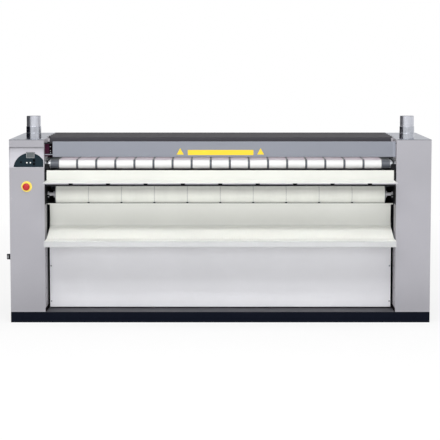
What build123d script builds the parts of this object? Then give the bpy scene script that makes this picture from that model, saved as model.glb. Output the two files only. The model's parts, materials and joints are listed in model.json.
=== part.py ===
from build123d import *
from dataclasses import dataclass
from math import asin, atan2, cos, hypot, radians, sin, tau
import os

os.makedirs("parts", exist_ok=True)

# Flatwork ironer: heated cylinder, ironing bands, front feed and front return.
# Millimetres. X runs along the machine, Y from front to back, Z up from the floor.
# A depth is measured backwards from the front face of the columns, a drop downwards.

# ---------------------------------------------------------------- machine
working_width = 2800
end_gap = 70  # from the working width to the inner wall of a column
column_width = 292
body_depth = 1200
body_height = 1540
plinth_height = 90
sheet = 2
frame_plate = 12
fascia_recess = 18
seam = 0.5
run_gap = 0.3  # between a turning face and what lies round it
shaft_gap = 0.05  # radial, in a bearing
hole_gap = 4  # radial, where a shaft only passes through

inner = working_width / 2 + end_gap
outer = inner + column_width
front = -body_depth / 2
rear = body_depth / 2
frame_in = inner + sheet
frame_out = frame_in + frame_plate
cap_under = body_height - sheet
fold = fascia_recess + 2 * sheet  # depth of the column skins' side folds

# ---------------------------------------------------------------- ironing train
cylinder_radius = 250
cylinder_wall = 12
cylinder_depth = 634
cylinder_drop = 425  # of the axis, from the top of the body
cylinder_overrun = 15
head_thickness = 20
cylinder_journal_radius = 45
cylinder_bearing_radius = 100
cylinder_bearing_width = 50

cylinder_height = body_height - cylinder_drop

band_count = 10
band_thickness = 2
band_seam = 1.6
nip_slack = 1.4
exit_nip_angle = 190
top_nip_angle = 105
exit_roller_radius = 75
top_guide_radius = 50
lower_guide_radius = 45
rear_roller_radius = 50
lower_guide_ahead = 204
lower_guide_below = 325
rear_roller_behind = 351
rear_lower_below = 285
rear_upper_above = 245

roller_overrun = 6
roller_wall = 5
roller_plug = 25
hub_step = 14
hub_length = 16
journal_radius = 15
journal_overrun = 2
thrust_step = 9
thrust_width = 10
bearing_radius = 34
bearing_width = 26
bearing_flange = 8
bearing_flange_overhang = 9

# ---------------------------------------------------------------- feed
feed_drop = 171  # of the bands' upper face, from the top of the body
feed_roller_depth = 92
feed_roller_radius = 36
feed_roller_overrun = 28
feed_nose_ahead = 174
feed_nose_radius = 17.5
nose_journal_radius = 8
feed_band_count = 17
feed_band_inset = 120  # from the end of the working width to the last band's middle
feed_band_gap = 14
table_gap = 0.7
table_thickness = 4
table_clearance = 8
hook_depth = 44
hook_plate = 8
hook_width = 9
hook_radius = 52
hook_reach = 72  # from the side frame to the centre of the hook's bend
hook_base = (42, 46)
hook_base_drop = 20
hook_bend = 75  # degrees

feed_height = body_height - feed_drop

# ---------------------------------------------------------------- finger guard
feed_slot = 24
guard_depth = 30
guard_height = 129
guard_left_gap = 69
guard_right_gap = 4
guard_flange = 16
guard_rod_radius = 6
guard_rod_drop = 15
guard_weld = 0.5
trip_rod_radius = 4
trip_rod_rise = 20
trip_rod_gap = 2
switch_plate_depth = 68
switch_plate_gap = 3
switch_plate_flange = 40
switch_width = 27
switch_length = 112
switch_thickness = 8

# ---------------------------------------------------------------- shelf and tray
shelf_drop = 338
shelf_reach = 345
shelf_apron = 81
shelf_hem = 12
shelf_hem_drop = 9
shelf_lip = 10
shelf_end_gap = 20
shelf_bend = 5
hem_bend = 3
bracket_count = 9
bracket_inset = 180  # from the end of the working width to the last bracket's middle
bracket_width = 40
bracket_sheet = 3
bracket_nose = 11
bracket_root = 44

tray_end_gap = 20
tray_back_ahead = 389
tray_top_drop = 129  # this drop and the next two are from the cylinder's axis
tray_heel_drop = 322
tray_floor_drop = 399
tray_hem = 11
tray_slope_run = 297
tray_reach = 265
tray_lip = 49
tray_return = 14
tray_bend = 24
tray_nose_bend = 6
tray_bracket_count = 6
tray_bracket_inset = 100
tray_bracket_depth = 100
tray_bracket_nose = 14
tray_bracket_reach = 160

shelf_height = body_height - shelf_drop
tray_back_depth = cylinder_depth - tray_back_ahead
tray_top = cylinder_height - tray_top_drop
tray_heel = cylinder_height - tray_heel_drop
tray_floor = cylinder_height - tray_floor_drop

# ---------------------------------------------------------------- panels and frame
beam_side = 60
beam_wall = 4
panel_depth = 203
panel_floor_gap = 12
panel_end_gap = 20
panel_return = 61  # from the panel's face to the beams that it hangs on
panel_hook = 20
panel_drop = 58  # of its upper edge, from the tray's heel
liner_rise = 4  # above the tray's upper edge
liner_step_drop = 16  # below the tray's floor
liner_depth_high = 190
hood_depth = 300
hood_drop = 98
hood_rear_drop = 40
hood_end_gap = 20
hood_bend = 8
hood_wing_depth = 420
hood_wing = 18  # what the hood lies over on each column
rear_panel_inset = 10
rear_panel_seam = 4
cap_flange = 23
stripper_ahead = 359
stripper_width = 84
stripper_lift = 8
stripper_height = 40
finger_count = 14
finger_width = 30
finger_gap = 2

panel_top = tray_heel - panel_drop
panel_foot = plinth_height + panel_floor_gap
panel_beam_depth = panel_depth + panel_return
liner_depth_low = panel_beam_depth - sheet

plinth_rail = 80
centre_rail = 80
foot_radius = 35
foot_pad = 12
foot_taper = 20  # degrees
foot_stem_radius = 8
foot_nut_radius = 15
foot_nut = 12
foot_inset = 150

# ---------------------------------------------------------------- extraction
duct_offset = 95
duct_depth = 110
collar_radius = 62
collar_height = 106
collar_joint = 51
collar_bead = 1.5
collar_flange = 78
pipe_radius = 58.5
pipe_wall = 1.2
pipe_rise = 87
pipe_swage = 1.5
swage_gap = 0.4
fan_radius = 120
fan_width = 100
fan_drop = 146
fan_behind = 110
impeller_radius = 85
impeller_width = 62
impeller_plate = 4
blade_count = 12
blade_circle = 65
blade_chord = 36
blade_thickness = 3
blade_lean = 35  # degrees
fan_shaft_radius = 9
fan_motor_radius = 60
fan_motor_length = 95
inlet_radius = 66

# ---------------------------------------------------------------- drive and heat
cylinder_pulley_radius = 190
motor_pulley_radius = 60
pulley_width = 40
pulley_gap = 10
pulley_web = 12
belt_width = 34
belt_thickness = 6
motor_height = 300
gearbox_width = 140
gearbox_side = 170
motor_radius = 70
motor_length = 280
motor_shaft_radius = 17
heater_tube_radius = 20
heater_bore_gap = 2
element_count = 6
element_radius = 8
element_circle = 130
spider_count = 3
terminal_side = 130
terminal_depth = 70
electrical_box_size = (170, 400)  # along X and Y
electrical_box_depth = 320
electrical_box_foot = 70  # above the plinth
electrical_box_drop = 475  # of its top, from the cylinder's axis

# ---------------------------------------------------------------- controls
# A control's place is across from the column's outer edge and up from the fascia's lower edge.
fascia_drop = 234
fascia_crease_drop = 63
control_plate = 2
arch_radius = 136
arch_centre = (171, -13)
arch_chord = 4
arch_cut = 285
display_place = (177, 103)
display_size = (68, 47)
display_thickness = 2
display_rim = 2
key_proud = 3
key_depth = 8
key_gap = 0.3
key_flange = 2
key_collar = 1.5
round_keys = {
    "key_dark": (99, 45, 8),
    "key_white_left": (148, 41, 7),
    "key_white_right": (177, 41, 7),
}
square_keys = {"key_up": (207, 59, 20), "key_down": (207, 30, 20)}
fascia_bottom = body_height - fascia_drop
fascia_crease = body_height - fascia_crease_drop

stop_across = 144
stop_drop = 159  # from the fascia's lower edge
stop_plate_radius = 45
stop_plate = 3
stop_collar_radius = 20
stop_collar = 14
stop_barrel_radius = 11
stop_barrel = 42
stop_head_radius = 30
stop_head_start = 24
stop_head_end = 50
stop_stem_radius = 6
stop_block = 38

isolator_depth = 150
isolator_height = 540
isolator_plate_side = 66
isolator_plate = 4
isolator_body_side = 50
isolator_body = 60
knob_radius = 25
knob_disc = 16
knob_grip = 26
knob_grip_width = 14
knob_stem_radius = 5
knob_stem = 12
knob_taper = 3  # degrees


def save(piece, label):
    piece.part.label = label
    export_step(piece.part, f"parts/{label}.step")


@dataclass
class Roller:
    depth: float
    height: float
    radius: float
    journal: float = journal_radius
    half_length: float = working_width / 2 + roller_overrun

    @property
    def place(self):
        return (front + self.depth, self.height)

    @property
    def plane(self):
        origin = (0, front + self.depth, self.height)
        return Plane(origin=origin, x_dir=(1, 0, 0), z_dir=(0, -1, 0))

    @property
    def axis(self):
        return Axis((0, front + self.depth, self.height), (1, 0, 0))


def beside_cylinder(radius, angle):
    """A roller that presses the ironing bands on the cylinder, at an angle from its rear."""
    nip = band_thickness + 2 * run_gap + nip_slack
    reach = cylinder_radius + nip + radius
    depth = cylinder_depth + reach * cos(radians(angle))
    height = cylinder_height + reach * sin(radians(angle))
    return Roller(depth, height, radius)


band_lift = band_thickness + run_gap
cylinder = Roller(cylinder_depth, cylinder_height, cylinder_radius, cylinder_journal_radius)
exit_roller = beside_cylinder(exit_roller_radius, exit_nip_angle)
top_guide = beside_cylinder(top_guide_radius, top_nip_angle)
lower_guide = Roller(
    cylinder_depth - lower_guide_ahead, cylinder_height - lower_guide_below, lower_guide_radius
)
rear_depth = cylinder_depth + rear_roller_behind
rear_lower = Roller(rear_depth, cylinder_height - rear_lower_below, rear_roller_radius)
rear_upper = Roller(rear_depth, cylinder_height + rear_upper_above, rear_roller_radius)
feed_roller = Roller(
    feed_roller_depth,
    feed_height - band_lift - feed_roller_radius,
    feed_roller_radius,
    half_length=working_width / 2 + feed_roller_overrun,
)
feed_nose = Roller(
    cylinder_depth - feed_nose_ahead,
    feed_height - band_lift - feed_nose_radius,
    feed_nose_radius,
    nose_journal_radius,
)
rollers = {
    "feed_roller": feed_roller,
    "feed_nose_roller": feed_nose,
    "top_guide_roller": top_guide,
    "exit_roller": exit_roller,
    "lower_guide_roller": lower_guide,
    "rear_lower_roller": rear_lower,
    "rear_upper_roller": rear_upper,
}


def loop_ring(wheels, clearance, thickness, x):
    """Section of a belt round wheels listed in its running order, anticlockwise as a whole.

    Each wheel is (place, radius, turn), where turn is 1 inside the loop and -1 outside it.
    """
    with BuildSketch(Plane.YZ.offset(x)) as ring:
        for outside in (True, False):
            bends = []
            for place, radius, turn in wheels:
                reach = clearance + (thickness if outside == (turn > 0) else 0)
                bends.append((place, turn * (radius + reach)))
            headings = []
            for (here, bend), (there, next_bend) in zip(bends, bends[1:] + bends[:1]):
                span = (there[0] - here[0], there[1] - here[1])
                lean = asin((bend - next_bend) / hypot(*span))
                headings.append(atan2(span[1], span[0]) + lean)
            with BuildLine():
                for index, (place, bend) in enumerate(bends):
                    arriving = headings[index - 1]
                    leaving = headings[index]
                    swing = (leaving - arriving) % tau if bend > 0 else -((arriving - leaving) % tau)
                    touches = []
                    for heading in (arriving, arriving + swing / 2, leaving):
                        touches.append((place[0] + bend * sin(heading), place[1] - bend * cos(heading)))
                    ThreePointArc(*touches)
                    there, next_bend = bends[(index + 1) % len(bends)]
                    landing = (there[0] + next_bend * sin(leaving), there[1] - next_bend * cos(leaving))
                    Line(touches[-1], landing)
            make_face(mode=Mode.ADD if outside else Mode.SUBTRACT)
    return ring.sketch


def sheet_section(points, bends, thickness, x):
    """Section of a bent sheet, thickened to the left of its path."""
    with BuildSketch(Plane.YZ.offset(x)) as section:
        with BuildLine():
            FilletPolyline(*points, radius=bends)
            offset(amount=thickness, side=Side.LEFT)
        make_face()
    return section.sketch


def at(depth, height):
    return (front + depth, height)


# ================================================================ base
rail_top = plinth_height - sheet
with BuildPart() as base_plinth:
    with BuildSketch(Plane.XY):
        for y in (front + plinth_rail / 2, rear - plinth_rail / 2):
            with Locations((0, y)):
                Rectangle(2 * outer, plinth_rail)
    extrude(amount=rail_top)
    rail_run = body_depth - 2 * plinth_rail
    with BuildSketch(Plane.XY):
        for x in (-outer + plinth_rail / 2, outer - plinth_rail / 2):
            with Locations((x, 0)):
                Rectangle(plinth_rail, rail_run)
        Rectangle(centre_rail, rail_run)
    extrude(amount=rail_top)
save(base_plinth, "base_plinth")

with BuildPart() as floor_plate:
    with BuildSketch(Plane.XY.offset(rail_top)):
        Rectangle(2 * outer, body_depth)
    extrude(amount=sheet)
save(floor_plate, "floor_plate")

foot_x = outer - foot_inset
foot_y = rear - foot_inset
with BuildPart() as leveling_feet:
    for x in (-foot_x, -foot_inset, foot_x):
        for y in (-foot_y, foot_y):
            with BuildSketch(Plane.XY):
                with Locations((x, y)):
                    Circle(foot_radius)
            extrude(amount=foot_pad, taper=foot_taper)
            with BuildSketch(Plane.XY.offset(foot_pad)):
                with Locations((x, y)):
                    Circle(foot_stem_radius)
            extrude(amount=rail_top - foot_pad)
            with BuildSketch(Plane.XY.offset(rail_top - foot_nut)):
                with Locations((x, y)):
                    RegularPolygon(foot_nut_radius, 6)
            extrude(amount=foot_nut)
save(leveling_feet, "leveling_feet")

# ================================================================ side frames
guard_bottom = feed_height + feed_slot
guard_top = guard_bottom + guard_height
guard_rod_at = at(guard_depth + sheet + guard_rod_radius - guard_weld, guard_top - guard_rod_drop)
fan_centre = at(duct_depth + fan_behind, cap_under - fan_drop)


def side_frame(side):
    with BuildPart() as plate:
        with BuildSketch(Plane.YZ.offset(side * frame_in)):
            with Locations(at((fold + body_depth - sheet) / 2, (plinth_height + cap_under) / 2)):
                Rectangle(body_depth - sheet - fold, cap_under - plinth_height)
            with Locations(cylinder.place):
                Circle(cylinder.journal + hole_gap, mode=Mode.SUBTRACT)
            for roller in rollers.values():
                with Locations(roller.place):
                    Circle(roller.journal + hole_gap, mode=Mode.SUBTRACT)
            with Locations(guard_rod_at):
                Circle(guard_rod_radius + shaft_gap, mode=Mode.SUBTRACT)
            with Locations(fan_centre):
                Circle(inlet_radius, mode=Mode.SUBTRACT)
        extrude(amount=side * frame_plate)
    return plate


save(side_frame(-1), "side_frame_left")
save(side_frame(1), "side_frame_right")

rear_beam_depth = body_depth - rear_panel_inset - beam_side
beams = [
    (sheet, shelf_height + 2 * sheet, inner),
    (panel_beam_depth, panel_foot + sheet, frame_in),
    (panel_beam_depth, panel_top - sheet - beam_side, frame_in),
    (hood_depth + sheet, cap_under - beam_side, frame_in),
    (rear_beam_depth, cap_under - beam_side, frame_in),
    (rear_beam_depth, plinth_height + beam_side, frame_in),
]
with BuildPart() as cross_beams:
    for depth, height, reach in beams:
        with BuildSketch(Plane.YZ.offset(-reach)):
            with Locations(at(depth + beam_side / 2, height + beam_side / 2)):
                RectangleRounded(beam_side, beam_side, 2 * beam_wall)
                RectangleRounded(
                    beam_side - 2 * beam_wall, beam_side - 2 * beam_wall, beam_wall, mode=Mode.SUBTRACT
                )
        extrude(amount=2 * reach)
save(cross_beams, "cross_beams")

# ================================================================ columns
duct_x = inner + duct_offset
duct_at = (duct_x, front + duct_depth)
stop_x = -outer + stop_across
stop_height = fascia_bottom - stop_drop
liner_height = tray_top + liner_rise
liner_step = tray_floor - liner_step_drop


def column_front(side, top):
    """Front skin with the folded wall that lines the machine's inner side."""
    with BuildPart() as skin:
        with BuildSketch(Plane.XZ.offset(-front)):
            with Locations((side * (inner + outer) / 2, (plinth_height + top) / 2)):
                Rectangle(column_width, top - plinth_height)
        extrude(amount=-sheet)
        with BuildSketch(Plane.YZ.offset(side * inner)):
            with BuildLine():
                Polyline(
                    at(sheet, plinth_height),
                    at(liner_depth_low, plinth_height),
                    at(liner_depth_low, liner_step),
                    at(liner_depth_high, liner_step),
                    at(liner_depth_high, liner_height),
                    at(fold, liner_height),
                    at(fold, top),
                    at(sheet, top),
                    close=True,
                )
            make_face()
        extrude(amount=side * sheet)
        with BuildSketch(Plane.YZ.offset(side * outer)):
            with Locations(at((sheet + fold) / 2, (plinth_height + top) / 2)):
                Rectangle(fold - sheet, top - plinth_height)
        extrude(amount=-side * sheet)
        if side < 0:
            with BuildSketch(Plane.XZ.offset(-front)):
                with Locations((stop_x, stop_height)):
                    Circle(stop_barrel_radius + run_gap)
            extrude(amount=-sheet, mode=Mode.SUBTRACT)
    return skin


save(column_front(-1, fascia_bottom - seam), "column_front_left")
save(column_front(1, cap_under), "column_front_right")

vent_rows = 9
vent_pitch = 26
vent_size = (180, 9)
vent_height = 300


def column_side(side):
    """Side door, with vent slots low down and the isolator's hole on the left."""
    with BuildPart() as door:
        with BuildSketch(Plane.YZ.offset(side * outer)):
            with Locations(at((fold + body_depth - sheet) / 2, (plinth_height + cap_under) / 2)):
                Rectangle(body_depth - sheet - fold, cap_under - plinth_height)
            with Locations((0, vent_height)):
                with GridLocations(0, vent_pitch, 1, vent_rows):
                    SlotOverall(*vent_size, mode=Mode.SUBTRACT)
            if side < 0:
                with Locations(at(isolator_depth, isolator_height)):
                    Circle(isolator_body_side / 2 - sheet, mode=Mode.SUBTRACT)
        extrude(amount=-side * sheet)
    return door


save(column_side(-1), "column_side_left")
save(column_side(1), "column_side_right")

with BuildPart() as column_tops:
    with BuildSketch(Plane.XY.offset(cap_under)):
        with Locations(((inner + outer) / 2, 0)):
            Rectangle(column_width, body_depth)
        with Locations(duct_at):
            Circle(pipe_radius - pipe_swage - pipe_wall, mode=Mode.SUBTRACT)
    extrude(amount=sheet)
    with BuildSketch(Plane.YZ.offset(inner)):
        with Locations(at((fold + hood_depth) / 2, cap_under - cap_flange / 2)):
            Rectangle(hood_depth - fold, cap_flange)
    extrude(amount=sheet)
    mirror(about=Plane.YZ)
save(column_tops, "column_tops")

with BuildPart() as column_backs:
    with BuildSketch(Plane.XZ.offset(-rear)):
        column_middle = (frame_in + outer) / 2
        with Locations((column_middle, (plinth_height + cap_under) / 2)):
            Rectangle(outer - frame_in, cap_under - plinth_height)
        with Locations((column_middle, vent_height)):
            with GridLocations(0, vent_pitch, 1, vent_rows):
                SlotOverall(*vent_size, mode=Mode.SUBTRACT)
    extrude(amount=sheet)
    mirror(about=Plane.YZ)
save(column_backs, "column_backs")

# ================================================================ covers
with BuildPart() as top_hood:
    hood_top = body_height + sheet
    hood_path = [
        at(body_depth, body_height - hood_rear_drop),
        at(body_depth, hood_top),
        at(hood_depth, hood_top),
        at(hood_depth, body_height - hood_drop),
    ]
    half = inner - hood_end_gap
    extrude(sheet_section(hood_path, hood_bend, sheet, -half), amount=2 * half)
    with BuildSketch(Plane.XY.offset(body_height)):
        with Locations((0, front + (hood_wing_depth + body_depth - hood_bend) / 2)):
            Rectangle(2 * (inner + hood_wing), body_depth - hood_bend - hood_wing_depth)
    extrude(amount=sheet)
save(top_hood, "top_hood")

with BuildPart() as lower_front_panel:
    hooked = panel_beam_depth + panel_hook
    panel_path = [
        at(hooked, panel_top),
        at(panel_depth, panel_top),
        at(panel_depth, panel_foot),
        at(hooked, panel_foot),
    ]
    half = inner - panel_end_gap
    extrude(sheet_section(panel_path, hem_bend, sheet, -half), amount=2 * half)
save(lower_front_panel, "lower_front_panel")

with BuildPart() as rear_panels:
    panel_half = inner - rear_panel_seam
    rear_top = body_height - hood_rear_drop - rear_panel_seam
    with BuildSketch(Plane.XZ.offset(-rear + rear_panel_inset)):
        with Locations(((panel_half + rear_panel_seam / 2) / 2, (plinth_height + rear_top) / 2)):
            Rectangle(panel_half - rear_panel_seam / 2, rear_top - plinth_height)
    extrude(amount=-sheet)
    mirror(about=Plane.YZ)
save(rear_panels, "rear_panels")

# ================================================================ ironing cylinder
cylinder_half = working_width / 2 + cylinder_overrun
shell_inner = cylinder_radius - cylinder_wall
with BuildPart() as cylinder_shell:
    with BuildSketch(Plane.YZ.offset(-cylinder_half)):
        with Locations(cylinder.place):
            Circle(cylinder_radius)
            Circle(shell_inner, mode=Mode.SUBTRACT)
    extrude(amount=2 * cylinder_half)
save(cylinder_shell, "cylinder_shell")

pulley_start = frame_out + cylinder_bearing_width + pulley_gap
journal_end = pulley_start + pulley_width
heater_bore = heater_tube_radius + heater_bore_gap
with BuildPart() as cylinder_heads:
    for side in (-1, 1):
        with BuildSketch(cylinder.plane):
            with BuildLine():
                face = cylinder_half - head_thickness
                Polyline(
                    (side * face, heater_bore),
                    (side * face, shell_inner),
                    (side * cylinder_half, shell_inner),
                    (side * cylinder_half, cylinder.journal),
                    (side * journal_end, cylinder.journal),
                    (side * journal_end, heater_bore),
                    close=True,
                )
            make_face()
        revolve(axis=cylinder.axis)
save(cylinder_heads, "cylinder_heads")


def pulley_section(plane, start, radius, hub, bore):
    """Half section of a belt pulley with a thin web between hub and rim."""
    rim = radius - pulley_web
    web_start = start + (pulley_width - pulley_web) / 2
    with BuildSketch(plane) as half:
        with Locations((start + pulley_width / 2, (radius + bore) / 2)):
            Rectangle(pulley_width, radius - bore)
        for x in (start, web_start + pulley_web):
            with Locations((x, hub)):
                Rectangle(
                    web_start - start, rim - hub, align=(Align.MIN, Align.MIN), mode=Mode.SUBTRACT
                )
    return half.sketch


with BuildPart() as cylinder_pulley:
    hub = cylinder.journal + 2 * pulley_web
    revolve(
        pulley_section(cylinder.plane, pulley_start, cylinder_pulley_radius, hub, cylinder.journal),
        axis=cylinder.axis,
    )
save(cylinder_pulley, "cylinder_pulley")

with BuildPart() as cylinder_bearings:
    with BuildSketch(Plane.YZ.offset(frame_out)):
        with Locations(cylinder.place):
            Circle(cylinder_bearing_radius)
            Circle(cylinder.journal + shaft_gap, mode=Mode.SUBTRACT)
    extrude(amount=cylinder_bearing_width)
    mirror(about=Plane.YZ)
save(cylinder_bearings, "cylinder_bearings")

# ================================================================ rollers
bearing_end = frame_out + bearing_width
thrust_face = frame_in - run_gap
for label, roller in rollers.items():
    bore = roller.radius - roller_wall
    hub = min(roller.journal + hub_step, bore)
    thrust = roller.journal + thrust_step
    end = [
        (bearing_end + journal_overrun, 0),
        (bearing_end + journal_overrun, roller.journal),
        (thrust_face, roller.journal),
        (thrust_face, thrust),
        (thrust_face - thrust_width, thrust),
        (thrust_face - thrust_width, roller.journal),
        (roller.half_length + hub_length, roller.journal),
        (roller.half_length + hub_length, hub),
        (roller.half_length, hub),
        (roller.half_length, roller.radius),
    ]
    with BuildPart() as body:
        with BuildSketch(roller.plane):
            with BuildLine():
                Polyline(*end, *[(-x, out) for x, out in reversed(end)], close=True)
            make_face()
            Rectangle(2 * (roller.half_length - roller_plug), 2 * bore, mode=Mode.SUBTRACT)
        revolve(axis=roller.axis)
    save(body, label)

with BuildPart() as roller_bearings:
    for roller in rollers.values():
        housing = bearing_radius - journal_radius + roller.journal
        with BuildSketch(roller.plane):
            with BuildLine():
                Polyline(
                    (frame_out, roller.journal + shaft_gap),
                    (bearing_end, roller.journal + shaft_gap),
                    (bearing_end, housing - bearing_flange_overhang),
                    (frame_out + bearing_flange, housing - bearing_flange_overhang),
                    (frame_out + bearing_flange, housing),
                    (frame_out, housing),
                    close=True,
                )
            make_face()
        revolve(axis=roller.axis)
    # a hook over each end of the feed roller, welded to the side frame
    with BuildSketch(Plane.XZ.offset(-front - hook_depth)):
        base_width, base_height = hook_base
        with Locations((frame_in - base_width / 2, feed_roller.height - hook_base_drop)):
            Rectangle(base_width, base_height)
        bend_centre = (frame_in - hook_reach, feed_roller.height)
        with BuildLine():
            CenterArc(bend_centre, hook_radius, 0, hook_bend)
            offset(amount=hook_width / 2)
        make_face()
    extrude(amount=-hook_plate)
    mirror(about=Plane.YZ)
save(roller_bearings, "roller_bearings")

# ================================================================ bands
ironing_loop = [
    (top_guide.place, top_guide.radius, 1),
    (cylinder.place, cylinder.radius, -1),
    (exit_roller.place, exit_roller.radius, 1),
    (lower_guide.place, lower_guide.radius, 1),
    (rear_lower.place, rear_lower.radius, 1),
    (rear_upper.place, rear_upper.radius, 1),
]
band_pitch = working_width / band_count
with BuildPart() as ironing_bands:
    for index in range(band_count):
        start = -working_width / 2 + index * band_pitch + band_seam / 2
        extrude(loop_ring(ironing_loop, run_gap, band_thickness, start), amount=band_pitch - band_seam)
save(ironing_bands, "ironing_bands")

feed_loop = [(feed_nose.place, feed_nose.radius, 1), (feed_roller.place, feed_roller.radius, 1)]
feed_band_pitch = (working_width - 2 * feed_band_inset) / (feed_band_count - 1)
feed_band_width = feed_band_pitch - feed_band_gap
with BuildPart() as feed_bands:
    for index in range(feed_band_count):
        start = (index - (feed_band_count - 1) / 2) * feed_band_pitch - feed_band_width / 2
        extrude(loop_ring(feed_loop, run_gap, band_thickness, start), amount=feed_band_width)
save(feed_bands, "feed_bands")

with BuildPart() as feed_table:
    table_top = feed_height - band_thickness - table_gap
    table_front = feed_roller.depth + feed_roller.radius + table_clearance
    table_rear = feed_nose.depth - feed_nose.radius - table_clearance
    with BuildSketch(Plane.YZ.offset(-frame_in)):
        with Locations(at((table_front + table_rear) / 2, table_top - table_thickness / 2)):
            Rectangle(table_rear - table_front, table_thickness)
    extrude(amount=2 * frame_in)
save(feed_table, "feed_table")

# ================================================================ finger guard
guard_left = -inner + guard_left_gap
guard_right = inner - guard_right_gap
with BuildPart() as guard_panel:
    guard_path = [
        at(guard_depth + guard_flange, guard_bottom),
        at(guard_depth, guard_bottom),
        at(guard_depth, guard_top),
        at(guard_depth + guard_flange + sheet, guard_top),
    ]
    extrude(sheet_section(guard_path[::-1], 1.5 * sheet, sheet, guard_left), amount=guard_right - guard_left)
    with BuildSketch(Plane.YZ.offset(-frame_out)):
        with Locations(guard_rod_at):
            Circle(guard_rod_radius)
    extrude(amount=2 * frame_out)
    with BuildSketch(Plane.YZ.offset(-frame_in + trip_rod_gap)):
        with Locations(at(guard_depth + sheet + trip_rod_radius - guard_weld, guard_bottom + trip_rod_rise)):
            Circle(trip_rod_radius)
    extrude(amount=2 * guard_left_gap)
save(guard_panel, "guard_panel")

with BuildPart() as guard_switch_plate:
    switch_y = front + switch_plate_depth
    switch_edge = guard_left - switch_plate_gap
    with BuildSketch(Plane.XY.offset(guard_bottom + switch_plate_gap)):
        with BuildLine():
            Polyline(
                (-frame_in, switch_y),
                (switch_edge, switch_y),
                (switch_edge, switch_y + sheet),
                (-frame_in + sheet, switch_y + sheet),
                (-frame_in + sheet, switch_y + switch_plate_flange),
                (-frame_in, switch_y + switch_plate_flange),
                close=True,
            )
        make_face()
    switch_top = cap_under - cap_flange - switch_plate_gap
    extrude(amount=switch_top - guard_bottom - switch_plate_gap)
    with BuildSketch(Plane.XZ.offset(-switch_y)):
        switch_middle = (guard_bottom + switch_plate_gap + switch_top) / 2
        with Locations((switch_edge - switch_width / 2, switch_middle)):
            RectangleRounded(switch_width, switch_length, switch_plate_gap)
    extrude(amount=switch_thickness)
save(guard_switch_plate, "guard_switch_plate")

# ================================================================ feed shelf
with BuildPart() as feed_shelf:
    apron_top = shelf_height + shelf_apron
    shelf_path = [
        at(shelf_hem, apron_top - shelf_hem_drop),
        at(shelf_hem, apron_top),
        at(0, apron_top),
        at(0, shelf_height),
        at(-shelf_reach, shelf_height),
        at(-shelf_reach, shelf_height - shelf_lip),
        at(-shelf_reach + shelf_hem, shelf_height - shelf_lip),
    ]
    half = inner - shelf_end_gap
    shelf_bends = [hem_bend, hem_bend, shelf_bend, hem_bend, hem_bend]
    extrude(sheet_section(shelf_path, shelf_bends, sheet, -half), amount=2 * half)
save(feed_shelf, "feed_shelf")

bracket_pitch = (working_width - 2 * bracket_inset) / (bracket_count - 1)
with BuildPart() as shelf_brackets:
    seat = shelf_height - sheet
    nose = shelf_height - shelf_lip
    gusset = [
        at(sheet, seat),
        at(-shelf_reach + shelf_hem + sheet, seat),
        at(-shelf_reach + shelf_hem + sheet, nose),
        at(-shelf_reach + sheet, nose),
        at(-shelf_reach + sheet, nose - bracket_nose),
        at(sheet, seat - bracket_root),
    ]
    for index in range(bracket_count):
        middle = (index - (bracket_count - 1) / 2) * bracket_pitch
        with BuildSketch(Plane.YZ.offset(middle - bracket_width / 2)):
            with BuildLine():
                Polyline(*gusset, close=True)
            make_face()
        extrude(amount=bracket_width)
        with BuildSketch(Plane.YZ.offset(middle - bracket_width / 2 + bracket_sheet)):
            with BuildLine():
                Polyline(
                    at(sheet - bracket_sheet, seat - bracket_sheet),
                    at(-shelf_reach + shelf_hem + bracket_root, seat - bracket_sheet),
                    at(sheet - bracket_sheet, seat - 2 * bracket_root),
                    close=True,
                )
            make_face()
        extrude(amount=bracket_width - 2 * bracket_sheet, mode=Mode.SUBTRACT)
save(shelf_brackets, "shelf_brackets")

# ================================================================ receiving tray
with BuildPart() as receiving_tray:
    tray_path = [
        at(tray_back_depth, tray_top),
        at(tray_back_depth, tray_heel),
        at(tray_back_depth - tray_slope_run, tray_floor),
        at(-tray_reach, tray_floor),
        at(-tray_reach, tray_floor - tray_lip),
        at(-tray_reach + tray_return, tray_floor - tray_lip),
    ]
    half = inner - tray_end_gap
    bends = [tray_bend, 4 * tray_bend, tray_nose_bend, tray_nose_bend / 2]
    extrude(sheet_section(tray_path, bends, sheet, -half), amount=2 * half)
    with BuildSketch(Plane.XZ.offset(-front - tray_back_depth)):
        with Locations((0, tray_top - tray_hem / 2)):
            Rectangle(2 * inner, tray_hem)
    extrude(amount=-sheet)
save(receiving_tray, "receiving_tray")

tray_bracket_pitch = (working_width - 2 * tray_bracket_inset) / (tray_bracket_count - 1)
with BuildPart() as tray_brackets:
    slope = (tray_heel - tray_floor) / tray_slope_run
    under = tray_floor - sheet
    rise = slope * (panel_depth - tray_back_depth + tray_slope_run)
    arm = [
        at(panel_depth, under + rise - tray_bend),
        at(tray_back_depth - tray_slope_run, under),
        at(-tray_bracket_reach, under),
        at(-tray_bracket_reach, under - tray_bracket_nose),
        at(panel_depth, under - tray_bracket_depth),
    ]
    for index in range(tray_bracket_count):
        middle = (index - (tray_bracket_count - 1) / 2) * tray_bracket_pitch
        with BuildSketch(Plane.YZ.offset(middle - bracket_width / 2)):
            with BuildLine():
                Polyline(*arm, close=True)
            make_face()
        extrude(amount=bracket_width)
save(tray_brackets, "tray_brackets")

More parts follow.
